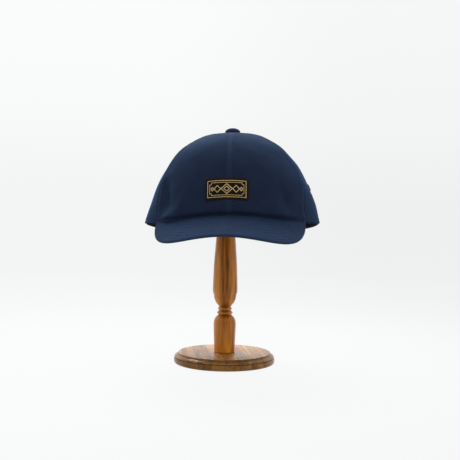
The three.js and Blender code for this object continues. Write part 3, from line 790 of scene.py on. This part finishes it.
TWILL, BAND, BAND_EDGE, LABEL_GROUND = cloths
NAVY_THREAD = thread_material("navy_thread", (0.014, 0.022, 0.046), (0.028, 0.042, 0.085), **NAVY_LOOK)
GOLD_THREAD = thread_material("gold_thread", (0.55, 0.36, 0.13), (1.0, 0.76, 0.34), **GOLD_LOOK)
BASE_WOOD = wood_material("base_wood", BASE_STOPS, **BASE_GRAIN)
POST_WOOD = wood_material("post_wood", POST_STOPS, **POST_GRAIN)
BRASS = brass_material()


# Crown panels
PANELS = ["front_right", "side_right", "back_right", "back_left", "side_left", "front_left"]
ROW_LEVELS = np.concatenate([np.linspace(0, 1, 27)[:-1], np.linspace(1, TOP_LEVEL, 84)])
PANEL_COLUMNS = 72


def panel_grids(number):
    """Outer and inner grids of a panel between two seams, with the wear of its cloth."""
    share = np.linspace(0, 1, PANEL_COLUMNS + 1)
    share = 0.45 * share + 0.55 * (0.5 - 0.5 * np.cos(math.pi * share))
    level = ROW_LEVELS[:, None] + 0 * share[None]
    seams = [*seam_turns(level), 0 * level + 360]
    low, high = seams[number], seams[number + 1]
    edge = crown_point(low, level)
    inset = np.degrees(SEAM_GAP / 15 / np.hypot(edge[..., 0], edge[..., 1]))
    turn = low + inset + (high - low - 2 * inset) * share[None]
    outer = crown_point(turn, level, sewn=True)
    inner = shell_point(turn, level, -CLOTH)
    reach = np.minimum(turn - low, high - turn) * np.radians(1) * np.hypot(edge[..., 0], edge[..., 1])
    wear = 0.5 * bell(reach, WEAR_INSET, WEAR_WIDTH) + 0.35 * (1 - smoothstep(level, 0.0, 0.06))
    return outer, inner, wear


def cut(piece, tool_points, tool_faces):
    """Cuts a closed tool out of a piece and keeps the result as its mesh."""
    mesh = bpy.data.meshes.new("tool")
    mesh.from_pydata((np.asarray(tool_points) / 1000).tolist(), [], tool_faces)
    tool = put("tool", mesh)
    modifier = piece.modifiers.new("cut", "BOOLEAN")
    modifier.operation, modifier.solver, modifier.object = "DIFFERENCE", "EXACT", tool
    bpy.context.view_layer.update()
    graph = bpy.context.evaluated_depsgraph_get()
    result = bpy.data.meshes.new_from_object(piece.evaluated_get(graph))
    piece.modifiers.clear()
    piece.data = result
    bpy.data.objects.remove(tool)


def tube_tool(centre, normal, radius, length):
    """Closed cylinder along a normal, as points and faces."""
    axis = Vector(normal)
    across = axis.orthogonal().normalized()
    around = circle(24)[:, None]
    ring = np.cos(around) * np.array(across) + np.sin(around) * np.array(axis.cross(across))
    loops = np.stack([centre + ring * radius + normal * length * end for end in (-1, 1)])
    return loops.reshape(-1, 3), loft(loops)


def arch_outline(half, height, steps):
    """Outline of the back opening seen from behind: sideways distance and drop below the crown's top."""
    rim = float(rim_drop(180))
    straight = height - half
    angle = np.radians(np.linspace(0, 180, steps))
    x = half * np.cos(angle)
    drop = rim - straight - half * np.sin(angle)
    return np.concatenate([[half], x, [-half]]), np.concatenate([[rim + 4], drop, [rim + 4]])


def build_crown():
    x, drop = arch_outline(ARCH_HALF_WIDTH, ARCH_HEIGHT, 28)
    flat = np.stack([x, 0 * x, -drop], -1)[::-1]
    shape = np.stack([flat + [0, RIM_BACK_REACH * 0.5, 0], flat + [0, RIM_BACK_REACH * 1.5, 0]])
    arch_points, arch_faces = on_stand(shape).reshape(-1, 3), loft(shape)
    for number, name in enumerate(PANELS):
        outer, inner, wear = panel_grids(number)
        points, faces = solid_between(outer, inner)
        weave = np.concatenate([weave_sizes(outer, wear), weave_sizes(inner)])
        piece = make_object("crown_" + name, on_stand(points), faces, TWILL, weave)
        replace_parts(piece, "panel_" + name)
        if name.startswith("back"):
            cut(piece, arch_points, arch_faces)
        if name.startswith("side"):
            turn = EYELET_ANGLE if name == "side_right" else 360 - EYELET_ANGLE
            level = level_at_drop(turn, EYELET_DROP)
            centre = on_stand(crown_point(turn, level))
            normal = way_out(turn, level)
            cut(piece, *tube_tool(centre, normal, EYELET_HOLE_RADIUS, 4 * CLOTH))


def seam_runs():
    """Two rows of stitches beside each seam, from the rim to the button, by section row."""
    runs = []
    rim_start, brim_start, end = 0.04, 0.42, 8.35
    level = np.linspace(rim_start, end, 150)
    for number, seam in enumerate(seam_turns(level)):
        middle = crown_point(seam, level)
        start = brim_start if number in (0, 1, 5) else rim_start
        keep = (level > start) & (np.hypot(middle[:, 0], middle[:, 1]) > BUTTON_RADIUS + 1.5)
        if number == 3:
            keep &= -middle[:, 2] < rim_drop(180) - ARCH_HEIGHT - 5
        for side in (-1, 1):
            turn = seam
            for _ in range(2):
                ahead = crown_point(turn + 0.5, level) - crown_point(turn - 0.5, level)
                turn = seam + side * STITCH_OFFSET / np.linalg.norm(ahead, axis=-1)
            runs.append(sewn_run(turn[keep], level[keep]))
    return runs


def rim_runs():
    """A row of stitches just above the rim, round the sides and back as far as the opening."""
    runs = []
    for side in (-1, 1):
        turn = side * np.linspace(56.5, arch_turn(5), 120)
        runs.append(sewn_run(turn, level_at_drop(turn, rim_drop(turn) - RIM_STITCH_RISE)))
    return runs


def arch_run():
    """A row of stitches round the back opening, outside its bound edge."""
    x, drop = arch_outline(ARCH_HALF_WIDTH + ARCH_STITCH_MARGIN, ARCH_HEIGHT + ARCH_STITCH_MARGIN, 60)
    return [sewn_run(*back_turn_and_level(x, np.minimum(drop, rim_drop(180) - 6)))]


def sweep(name, path, normals, section, material):
    """Sweeps a closed section (across, out) along a path with its normals."""
    ahead = unit(np.gradient(path, axis=0))
    side = unit(np.cross(ahead, normals))
    out = np.cross(side, ahead)
    loops = path[:, None] + section[None, :, :1] * side[:, None] + section[None, :, 1:] * out[:, None]
    weave = np.zeros(loops.shape)
    weave[..., 0] += way_along(section)[None]
    weave[..., 1] += way_along(path)[:, None]
    return make_object(name, loops, loft(loops), material, weave)


def rounded_section(width, height, corner, steps=4):
    """Closed rounded rectangle as (across, out) points about its centre."""
    points = []
    for index, (x, y) in enumerate(((1, 1), (-1, 1), (-1, -1), (1, -1))):
        middle = np.array([x * (width / 2 - corner), y * (height / 2 - corner)])
        for angle in np.radians(90 * index + np.linspace(0, 90, steps + 1)):
            points.append(middle + corner * np.array([np.cos(angle), np.sin(angle)]))
    return np.array(points)


def build_arch_binding():
    x, drop = arch_outline(ARCH_HALF_WIDTH + 0.4, ARCH_HEIGHT + 0.4, 64)
    drop = np.minimum(drop, rim_drop(180) - 0.5)
    turn, level = back_turn_and_level(x, drop)
    path = on_stand(shell_point(turn, level, -CLOTH / 2))
    normals = way_out(turn, level)
    section = rounded_section(BINDING_WIDTH, CLOTH + 2 * BINDING_PROUD, BINDING_CORNER)
    sweep("arch_binding", path, normals, section, TWILL)


def build_button():
    """Covered button with a pinched edge and faint radial creases in its cloth."""
    lip = 0.14
    outline = [
        dict(radius=0.0, up=0.0),
        dict(radius=0.9, up=-0.04),
        dict(radius=0.98, up=-0.05),
        dict(radius=1.0, up=0.0),
        dict(radius=1.0, up=0.08),
    ]
    for angle in np.radians(np.linspace(7.5, 90, 12)):
        outline.append(dict(radius=np.cos(angle), up=lip + (1 - lip) * np.sin(angle)))
    radius = column_of(outline, "radius")[:, None] * BUTTON_RADIUS
    up = column_of(outline, "up")[:, None] * BUTTON_HEIGHT + SEAM_GAP
    around = circle(96)[None]
    gather = 1 + np.sin(9 * around + 0.6 * np.sin(4 * around))
    pinch = radius * (1 - 0.018 * smoothstep(radius / BUTTON_RADIUS, 0.55, 1) * gather)
    grid = np.stack([pinch * np.cos(around), pinch * np.sin(around), up + 0 * around], -1)
    weave = grid.copy()
    weave[..., 2] = 0.25 * bell(way_along(np.hstack([radius, up]))[:, None], 10, 1.5)
    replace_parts(make_object("covered_button", on_stand(grid), loft(grid), TWILL, weave), "button")


# Brim
BRIM_ROLL = 1.9
BRIM_TUCK = 1.2
BRIM_ROW_DEPTH = 0.04
BRIM_ROW_WIDTH = 0.8
BRIM_EDGE_HEIGHT = 0.22
BRIM_EDGE_INSET = 1.6
BRIM_EDGE_WIDTH = 1.3
BRIM_QUILT_HEIGHT = 0.03
BRIM_FIRST_ROW = 4.2
BRIM_SECOND_ROW = 10.5
BRIM_ROW_SPACE = 6.5
BRIM_EDGE_ROWS = [
    dict(inset=0.0),
    dict(inset=0.12),
    dict(inset=0.35),
    dict(inset=0.7),
    dict(inset=1.1),
    dict(inset=1.5),
]
BRIM_ROWS_AT = [BRIM_FIRST_ROW, *(BRIM_SECOND_ROW + BRIM_ROW_SPACE * row for row in range(6))]


def brim_edges(place):
    """Root and outer edge of the brim in plan, for places from -1 at one end to 1 at the other."""
    turn = place * SECTIONS[0]["front_seam"]
    root = crown_point(turn, 0.0 * turn)
    normal = crown_normal(turn, 0.0 * turn)
    normal[..., 2] = 0
    normal = unit(normal)
    root = root + normal * (SEAM_GAP - BRIM_TUCK)
    end = crown_point(BRIM_END_ANGLE, 0.0)
    reach = BRIM_LENGTH + RIM_FRONT_REACH + end[1]
    power = 2 / BRIM_OUTLINE_POWER
    swing = BRIM_SWEEP_ANGLE * place
    x = np.sign(place) * (end[0] + SEAM_GAP) * np.abs(sine(swing)) ** power
    y = end[1] - SEAM_GAP - reach * cosine(swing) ** power
    return root[..., :2], np.stack([x, y], -1)


def brim_point(place, inset, height):
    """Point on or over the brim's middle face, by its distance in from the outer edge."""
    root, rim = brim_edges(place)
    length = np.linalg.norm(root - rim, axis=-1, keepdims=True)
    plan = rim + (root - rim) * (inset[..., None] / length)
    z = brim_top(plan[..., 0], plan[..., 1]) - BRIM_THICKNESS / 2 + height
    return np.concatenate([plan, z[..., None]], -1)


def brim_half_thickness(inset):
    """Half the brim's thickness: a rolled edge, a pressed groove behind it and rows of quilting."""
    full = BRIM_THICKNESS / 2
    roll = np.sqrt(np.clip(1 - (1 - np.clip(inset / BRIM_ROLL, 0, 1)) ** 2, 0, 1))
    edge = BRIM_EDGE_HEIGHT * bell(inset, BRIM_EDGE_INSET, BRIM_EDGE_WIDTH)
    rows = sum(bell(inset, at, BRIM_ROW_WIDTH) for at in BRIM_ROWS_AT)
    phase = (inset - BRIM_FIRST_ROW) / (BRIM_SECOND_ROW - BRIM_FIRST_ROW)
    swell = BRIM_QUILT_HEIGHT * np.sin(2 * math.pi * phase - math.pi / 2)
    return (full + edge + swell * (inset > 3)) * roll - BRIM_ROW_DEPTH * rows


def build_brim():
    place = np.linspace(-1, 1, 181)
    root, rim = brim_edges(place)
    length = np.linalg.norm(root - rim, axis=-1)
    share = np.linspace(0, 1, 64) ** 1.25
    near = column_of(BRIM_EDGE_ROWS, "inset")
    loops = []
    for where, long in zip(place, length):
        start = near[-1] + 0.3
        inset = np.minimum(np.concatenate([near, start + max(long - start, 0.5) * share]), long)
        spot = np.full(inset.shape, where)
        top = brim_point(spot, inset, brim_half_thickness(inset))
        low = brim_point(spot, inset, -brim_half_thickness(inset))
        loops.append(np.concatenate([top[::-1], low[1:]]))
    loops = np.array(loops)
    rows = len(near) + len(share)
    inset_row = np.concatenate([np.arange(rows)[::-1], np.arange(1, rows)])
    weave = loops.copy()
    weave[..., 2] = 0.55 * bell(inset_row, 0, 4)
    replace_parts(make_object("brim_plate", on_stand(loops), loft(loops), TWILL, weave), "brim")


def brim_runs():
    """Rows of stitches on both faces of the brim."""
    runs = []
    place = np.linspace(-0.985, 0.985, 400)
    root, rim = brim_edges(place)
    length = np.linalg.norm(root - rim, axis=-1)
    for at in BRIM_ROWS_AT:
        keep = length > at + 2.2
        inset = np.full(keep.sum(), at)
        for face in (1, -1):
            height = face * brim_half_thickness(inset)
            path = brim_point(place[keep], inset, height)
            runs.append((on_stand(path), np.tile([0.0, -0.3, 1.0], (len(path), 1)) * face))
    return runs


# Patch
def label_spot(x, y):
    """Turn and section row of a point of the patch, from its middle, in millimetres."""
    sideways = 2 * x / LABEL_WIDTH
    drop = LABEL_TOP_DROP + LABEL_HEIGHT / 2 - y + LABEL_ARCH * sideways * sideways
    wide = RIM_HALF_WIDTH * read_column(SECTIONS, "side", level_at_drop(0.0, drop))
    turn = np.degrees(np.arcsin((LABEL_SIDE_SHIFT + x) / wide))
    return turn, level_at_drop(turn, drop)


def label_point(x, y, height):
    turn, level = label_spot(x, y)
    return on_stand(shell_point(turn, level, SEAM_GAP + height))


def label_normal(x, y):
    turn, level = label_spot(x, y)
    return way_out(turn, level)


def build_label():
    x = np.linspace(-LABEL_WIDTH / 2, LABEL_WIDTH / 2, 97)
    y = np.linspace(-LABEL_HEIGHT / 2, LABEL_HEIGHT / 2, 55)
    wide, high = np.meshgrid(x, y)
    edge = np.minimum(LABEL_WIDTH / 2 - np.abs(wide), LABEL_HEIGHT / 2 - np.abs(high))
    rounded = LABEL_THICKNESS * (0.55 + 0.45 * smoothstep(edge, 0, 0.9))
    height = rounded - 0.18 * bell(edge, PATCH_STITCH_INSET, 0.3)
    turn, level = label_spot(wide, high)
    outer = on_stand(shell_point(turn, level, SEAM_GAP) + crown_normal(turn, level) * height[..., None])
    inner = on_stand(shell_point(turn, level, -0.2))
    points, faces = solid_between(outer, inner)
    flat = np.stack([wide, high, 0.2 * bell(edge, 0, 0.8)], -1).reshape(-1, 3)
    piece = make_object("label_ground", points, faces, LABEL_GROUND, np.concatenate([flat, flat]))
    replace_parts(piece, "label_patch")


def satin(name, lines):
    """Gold threads laid side by side across each line of (points, width)."""
    middles, halves = [], []
    for corners, width in lines:
        corners = np.array(corners, float)
        for start, end in zip(corners[:-1], corners[1:]):
            size = np.linalg.norm(end - start)
            along = (end - start) / size
            steps = np.linspace(0, 1, max(int(size / 0.36), 1) + 1)[:, None]
            middles.append(start + (end - start) * steps)
            halves.append(np.tile([-along[1], along[0]], (len(steps), 1)) * width / 2)
    middles, halves = np.concatenate(middles), np.concatenate(halves)
    places = 2 * column_of(THREAD_RINGS, "at") - 1
    ends = middles[:, None] + halves[:, None] * places[None, :, None]
    centres = label_point(ends[..., 0], ends[..., 1], LABEL_THICKNESS + 0.02)
    outs = label_normal(middles[:, 0], middles[:, 1])
    return lay_threads(name, centres, outs, GOLD_THREAD_RADIUS, GOLD_THREAD)


def box_line(half_wide, half_high, notch=0):
    """Closed frame with its corners cut square by a notch."""
    corners = []
    for x, y in ((1, 1), (-1, 1), (-1, -1), (1, -1)):
        inner = [(x * half_wide, y * (half_high - notch)), (x * (half_wide - notch), y * (half_high - notch))]
        inner.append((x * (half_wide - notch), y * half_high))
        if x * y < 0:
            inner.reverse()
        corners += inner if notch else [(x * half_wide, y * half_high)]
    return corners + [corners[0]]


def lozenge(x, wide, high):
    return [(x - wide / 2, 0), (x, high / 2), (x + wide / 2, 0), (x, -high / 2), (x - wide / 2, 0)]


# Gold lines of the patch, in millimetres: frames by their insets from the gold's outline, then lozenges
GOLD_THREAD_RADIUS = 0.19
GOLD_FRAMES = [
    dict(side_inset=0, top_inset=0, notch=0, width=0.85),
    dict(side_inset=2.3, top_inset=2.1, notch=2, width=0.7),
]
LOZENGE_LINE = 1.05
LOZENGES = [
    dict(x=0, wide=12.5, high=11),
    dict(x=0, wide=6.2, high=5.4),
    dict(x=-10.4, wide=7.4, high=7.6),
    dict(x=10.4, wide=7.4, high=7.6),
    dict(x=-16, wide=3.2, high=4),
    dict(x=16, wide=3.2, high=4),
]


def label_threads():
    """Lines of the gold pattern as (points, width)."""
    lines = []
    for row in GOLD_FRAMES:
        half_wide, half_high = GOLD_HALF_WIDTH - row["side_inset"], GOLD_HALF_HEIGHT - row["top_inset"]
        lines.append((box_line(half_wide, half_high, row["notch"]), row["width"]))
    lines += [(lozenge(**row), LOZENGE_LINE) for row in LOZENGES]
    return [([(x, y + GOLD_RISE) for x, y in corners], width) for corners, width in lines]


def patch_edge_run():
    """A row of stitches just inside the patch's edge."""
    corners = np.array(box_line(LABEL_WIDTH / 2 - PATCH_STITCH_INSET, LABEL_HEIGHT / 2 - PATCH_STITCH_INSET))
    points = []
    for start, end in zip(corners[:-1], corners[1:]):
        points += [start + (end - start) * share for share in np.linspace(0, 1, 30, endpoint=False)]
    points = np.array(points + [corners[-1]])
    path = label_point(points[:, 0], points[:, 1], LABEL_THICKNESS * 0.82)
    return [(path, label_normal(points[:, 0], points[:, 1]))]


# Air holes: the way of one thread from the hole outward as a share, its lift and its radius in millimetres
EYELET_THREAD = [
    dict(out=0.0, lift=-0.8, size=0.2),
    dict(out=0.04, lift=-0.1, size=0.26),
    dict(out=0.5, lift=0.2, size=0.34),
    dict(out=0.88, lift=0.0, size=0.34),
    dict(out=1.0, lift=-0.5, size=0.22),
]


def build_eyelet(name, turn):
    level = level_at_drop(turn, EYELET_DROP)
    centre = on_stand(shell_point(turn, level, SEAM_GAP))
    normal = way_out(turn, level)
    across = unit(np.cross([0, 0, 1], normal))
    up = np.cross(normal, across)
    count, sides = 30, 6
    around = circle(sides)[:, None]
    threads = []
    for angle in circle(count):
        out = math.cos(angle) * across + math.sin(angle) * up
        ring = np.cos(around) * np.cross(normal, out) + np.sin(around) * normal
        length = EYELET_RADIUS + EYELET_STRAY * rng.uniform(-1, 1) - EYELET_HOLE_RADIUS
        rings = []
        for row in EYELET_THREAD:
            middle = centre + out * (EYELET_HOLE_RADIUS + length * row["out"]) + normal * row["lift"]
            rings.append(middle + row["size"] * ring)
        threads.append(rings)
    threads = np.array(threads)
    piece = make_object(name + "_ring", threads, faces_of_all(threads), NAVY_THREAD)
    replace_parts(piece, name)


# Band inside the rim, strap and slide
def inner_band(name, turns, low_show, height, distance, thickness, material, slot, rows):
    """Strip inside the walls with rounded edges, from a row of turns."""
    up = np.linspace(0, 1, rows)
    edge = np.sqrt(np.clip(1 - (1 - np.clip(np.minimum(up, 1 - up) * height / 0.6, 0, 1)) ** 2, 0, 1))
    drop = rim_drop(turns)[None] + low_show - (height + low_show) * up[:, None]
    turn = turns[None] + 0 * drop
    under = np.maximum(drop - rim_drop(turn), 0)
    level = level_at_drop(turn, drop - under)
    middle = -distance - thickness / 2
    swell = (0.25 + 0.75 * edge[:, None]) * thickness / 2
    normal = crown_normal(turn, level)
    base = crown_point(turn, level)
    base[..., 2] -= under
    outer = base + normal * (middle + swell)[..., None]
    inner = base + normal * (middle - swell)[..., None]
    points, faces = solid_between(outer, inner)
    weave = np.concatenate([weave_sizes(outer), weave_sizes(inner)])
    return make_object(name, on_stand(points), faces, material, weave)


def build_inside():
    behind = CLOTH + BAND_GAP
    end = arch_turn(STRAP_TUCK)
    head_turns = np.linspace(-end + 0.3, end - 0.3, 260)
    size = dict(low_show=0.4, height=BAND_HEIGHT, distance=behind, thickness=BAND_THICKNESS, rows=14)
    band = inner_band("sweatband_cloth", head_turns, material=BAND, slot="band", **size)
    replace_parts(band, "sweatband")
    size = dict(low_show=BAND_SHOW, height=BAND_EDGE_HEIGHT, distance=behind - BAND_EDGE_RAISE, rows=8)
    size["thickness"] = BAND_THICKNESS + 2 * BAND_EDGE_RAISE
    inner_band("sweatband_edge", head_turns, material=BAND_EDGE, slot="band", **size)
    size = dict(low_show=0, height=STRAP_WIDTH, distance=behind, thickness=STRAP_THICKNESS, rows=18)
    strap = inner_band("strap_cloth", np.linspace(end, 360 - end, 120), material=TWILL, slot="twill", **size)
    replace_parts(strap, "back_strap")


def strap_runs():
    """Two rows of stitches along the strap."""
    runs = []
    end = arch_turn(-1)
    turn = np.linspace(end, 360 - end, 90)
    for rise in (STRAP_STITCH_INSET, STRAP_WIDTH - STRAP_STITCH_INSET):
        level = level_at_drop(turn, rim_drop(turn) - rise)
        runs.append((on_stand(shell_point(turn, level, -CLOTH - BAND_GAP)), way_out(turn, level)))
    return runs


def build_slide():
    """Bent wire-like frame round the strap."""
    level = level_at_drop(180.0, rim_drop(180.0) - STRAP_WIDTH / 2)
    centre = on_stand(shell_point(180.0, level, -CLOTH - BAND_GAP - STRAP_THICKNESS / 2))
    out = way_out(180.0, level)
    along = np.array([-1.0, 0, 0]) @ TILT.T
    up = np.cross(along, out)
    half_high = STRAP_WIDTH / 2 + SLIDE_GAP + SLIDE_WALL / 2
    half_deep = STRAP_THICKNESS / 2 + SLIDE_GAP + SLIDE_WALL / 2
    outline = rounded_section(2 * half_high, 2 * half_deep, 1.1, 6)
    path = centre + outline[:, :1] * up + outline[:, 1:] * out
    section = rounded_section(SLIDE_LENGTH, SLIDE_WALL, 0.55, 3)[:, ::-1]
    loops = []
    for number, point in enumerate(path):
        ahead = path[(number + 1) % len(path)] - path[number - 1]
        away = np.cross(along, ahead / np.linalg.norm(ahead))
        loops.append(point + section[:, :1] * away + section[:, 1:] * along)
    loops = np.array(loops)
    piece = make_object("slide_frame", loops, loft(loops, closed=True), BRASS)
    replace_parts(piece, "strap_slide")


# Stand
def turn_piece(name, profile, material, sides):
    """Lathe of rows with a radius, height and painted light (painted shade below 0, painted highlight above
    0) round the stand's axis, flat at both ends.
    """
    around = circle(sides)[None]
    columns = [column_of(profile, key)[:, None] for key in ("radius", "height", "painted_light")]
    radius, height, painted_light = (column + 0 * around for column in columns)
    loops = np.stack([radius * np.cos(around), radius * np.sin(around), height], -1)
    return make_object(name, loops, loft(loops), material, np.stack([0 * painted_light, 0 * painted_light, painted_light], -1))


def smooth_profile(rows, keys, steps):
    place = np.linspace(0, len(rows) - 1, (len(rows) - 1) * steps + 1)
    return np.stack([read_column(rows, key, place) for key in keys], -1)


def build_stand():
    # The last number of each row is painted light: painted shade under the base, at the post's foot and down
    # the base's side, painted highlights on the post's ridges
    profile = [dict(radius=BASE_RADIUS - 8, height=0, painted_light=-1)]
    for inset, up, painted_light in smooth_profile(BASE_OUTLINE, ("inset", "up", "painted_light"), 4):
        height = max(up, 0) * BASE_HEIGHT
        profile.append(dict(radius=BASE_RADIUS - inset * BASE_BEVEL, height=height, painted_light=painted_light))
    profile += [dict(radius=share * BASE_RADIUS, height=BASE_HEIGHT, painted_light=0) for share in (0.5, 0.12)]
    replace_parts(turn_piece("turned_base", profile, BASE_WOOD, 160), "stand_base")

    foot = BASE_HEIGHT + FIT_GAP
    profile = [dict(radius=POST_RADIUS * 0.7, height=foot - FIT_GAP / 2, painted_light=-1)]
    profile.append(dict(radius=POST_RADIUS * 0.82, height=foot, painted_light=-0.8))
    for radius, up, painted_light in smooth_profile(POST_OUTLINE, ("radius", "up", "painted_light"), 6):
        height = foot + FIT_GAP + up * (POST_LENGTH - FIT_GAP)
        profile.append(dict(radius=radius * POST_RADIUS, height=height, painted_light=painted_light))
    head = foot + POST_LENGTH + FIT_GAP
    profile.append(dict(radius=POST_RADIUS * 0.6, height=head, painted_light=0))
    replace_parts(turn_piece("turned_post", profile, POST_WOOD, 112), "stand_post")

    profile = [dict(radius=HEAD_RADIUS - HEAD_RIM / 2, height=head, painted_light=0)]
    profile.append(dict(radius=HEAD_RADIUS, height=head + HEAD_RIM / 2, painted_light=0))
    for angle in np.radians(np.linspace(0, 90, 31)[:-1]):
        height = head + HEAD_RIM + (HEAD_HEIGHT - HEAD_RIM) * math.sin(angle)
        profile.append(dict(radius=HEAD_RADIUS * math.cos(angle), height=height, painted_light=0))
    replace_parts(turn_piece("turned_head", profile, POST_WOOD, 112), "stand_head")


build_stand()
build_crown()
build_button()
build_brim()
build_label()
build_inside()
build_arch_binding()
build_slide()
build_eyelet("eyelet_right", EYELET_ANGLE)
build_eyelet("eyelet_left", 360 - EYELET_ANGLE)
stitches("seam_stitches", seam_runs(), NAVY_THREAD)
stitches("rim_stitches", rim_runs() + arch_run() + strap_runs(), NAVY_THREAD)
stitches("brim_stitches", brim_runs(), NAVY_THREAD)
stitches("patch_stitches", patch_edge_run(), NAVY_THREAD, length=1.4, space=0.4, radius=0.16)
satin("gold_threads", label_threads())


# Floor, backdrop, lights and camera, in metres
STAGE_REACH = 2.6
STAGE_BEND = 0.9
STAGE_WALL = 1.7
STAGE_SIDES = 96
WORLD_STRENGTH = 1.5
WORLD_GLOW = [
    dict(at=0.0, colour=(0.25, 0.255, 0.26)),
    dict(at=0.5, colour=(0.55, 0.555, 0.56)),
    dict(at=1.0, colour=(0.8, 0.8, 0.8)),
]
COOL = (0.96, 0.985, 1)
WHITE = (1, 1, 1)
LIGHTS = [
    dict(name="overhead", size=1.2, power=45, tint=COOL, place=(-0.15, 0.85, 1.45), aim=(0, 0.05, 0.2)),
    dict(name="front", size=0.25, power=2.4, tint=WHITE, place=(0.35, -1.1, 1.0), aim=(0, 0, 0.1)),
]

# Camera: the photo's side, the focal length and the sideways shift in pixels, and its place and roll
PHOTO_SIDE = 460
FOCAL_LENGTH = 710
SIDE_SHIFT = 4
CAMERA = dict(distance=0.87, azimuth=3.8, height=0.162, roll=0.8)

# Glow of the stage along the floor and up the wall, as a share of the whole way: painted light, brightest
# round the stand and high on the wall, dimmer between
STAGE_GLOW = [
    dict(along=0.0, glow=0.92),
    dict(along=0.06, glow=0.908),
    dict(along=0.13, glow=0.864),
    dict(along=0.2, glow=0.846),
    dict(along=0.45, glow=0.858),
    dict(along=0.54, glow=0.865),
    dict(along=0.62, glow=0.888),
    dict(along=0.7, glow=0.914),
    dict(along=0.85, glow=0.935),
]


def make_stage():
    """Pale round floor that curves up into a wall on every side. It glows with painted light instead of being
    lit, seen only by the camera, with a painted shadow towards +X.
    """
    material, tree, surface = new_material("glowing_stage")
    place = read_place(tree)
    parts = add_node(tree, "SeparateXYZ", None, {0: place})
    flat = spread(tree, place, (0.5 / STAGE_REACH, 0.5 / STAGE_REACH, 0))
    reach = add_node(tree, "VectorMath", {"operation": "LENGTH"}, {0: flat}).outputs["Value"]
    along = reckon(tree, "MULTIPLY_ADD", parts.outputs[2], 0.5 / STAGE_WALL, reach)
    stops = []
    for row in STAGE_GLOW:
        stops.append(dict(at=row["along"], colour=(row["glow"], row["glow"] + 0.004, row["glow"] + 0.007)))
    # Painted shadow: the glow dims a little towards +X
    sides = {"Value": parts.outputs[0], "From Min": -0.6, "From Max": 0.5, "To Min": 1.012, "To Max": 0.968}
    painted_side_shadow = add_node(tree, "MapRange", {"interpolation_type": "SMOOTHSTEP"}, sides).outputs[0]
    look = {"Emission Color": colours(tree, along, stops), "Emission Strength": painted_side_shadow}
    glowing_stage = {"Base Color": (0.03, 0.03, 0.03, 1), "Roughness": 1.0, "Specular IOR Level": 0.0}
    feed(tree, surface, {**look, **glowing_stage})
    bend = np.radians(np.linspace(0, 90, 25))
    radius = np.append(STAGE_REACH - STAGE_BEND * (1 - np.sin(bend)), STAGE_REACH)[:, None]
    height = np.append(STAGE_BEND * (1 - np.cos(bend)), STAGE_WALL)[:, None]
    around = circle(STAGE_SIDES)[None]
    rings = np.stack([radius * np.cos(around), radius * np.sin(around), height + 0 * around], -1)
    points = rings.reshape(-1, 3).tolist()
    faces = [face[::-1] for face in loft(rings)[:-1]]
    mesh = bpy.data.meshes.new("floor")
    mesh.from_pydata(points, [], faces)
    mesh.polygons.foreach_set("use_smooth", np.ones(len(faces), bool))
    mesh.materials.append(material)
    floor = put("floor", mesh)
    floor.visible_diffuse = False
    floor.visible_glossy = False
    floor.visible_shadow = False


def make_world():
    """Soft light from all round: bright behind and beside, dim in front."""
    world = bpy.data.worlds.new("studio")
    world.use_nodes = True
    tree = world.node_tree
    way = add_node(tree, "TexCoord").outputs["Generated"]
    parts = add_node(tree, "SeparateXYZ", None, {0: way})
    behind = add_node(tree, "MapRange", None, {"Value": parts.outputs[1], "From Min": -1.0})
    surface = tree.nodes["Background"]
    tree.links.new(colours(tree, behind.outputs[0], WORLD_GLOW), surface.inputs["Color"])
    surface.inputs["Strength"].default_value = WORLD_STRENGTH
    bpy.context.scene.world = world


def add_light(name, place, aim, size, power, tint):
    data = bpy.data.lights.new(name, "AREA")
    data.size = size
    data.energy, data.color = power, tint
    light = put(name, data)
    light.location = place
    light.rotation_euler = (Vector(aim) - Vector(place)).to_track_quat("-Z", "Y").to_euler()
    light.visible_camera = False


def make_camera():
    data = bpy.data.cameras.new("camera")
    data.sensor_width = 36
    data.lens = data.sensor_width * FOCAL_LENGTH / PHOTO_SIDE
    data.shift_x = SIDE_SHIFT / PHOTO_SIDE
    data.clip_start, data.clip_end = 0.01, 50
    camera = put("camera", data)
    azimuth, roll = math.radians(CAMERA["azimuth"]), math.radians(CAMERA["roll"])
    level = Vector((math.cos(azimuth), math.sin(azimuth), 0))
    right = level * math.cos(roll) + Vector((0, 0, math.sin(roll)))
    up = Vector((0, 0, math.cos(roll))) - level * math.sin(roll)
    back = right.cross(up)
    turn = Matrix((right, up, back)).transposed().to_4x4()
    ahead = Vector((math.sin(azimuth), -math.cos(azimuth), 0))
    turn.translation = CAMERA["distance"] * ahead + Vector((0, 0, CAMERA["height"]))
    camera.matrix_world = turn
    bpy.context.scene.camera = camera


make_stage()
for row in LIGHTS:
    add_light(**row)
make_world()
bpy.context.scene.view_settings.view_transform = "Standard"
make_camera()
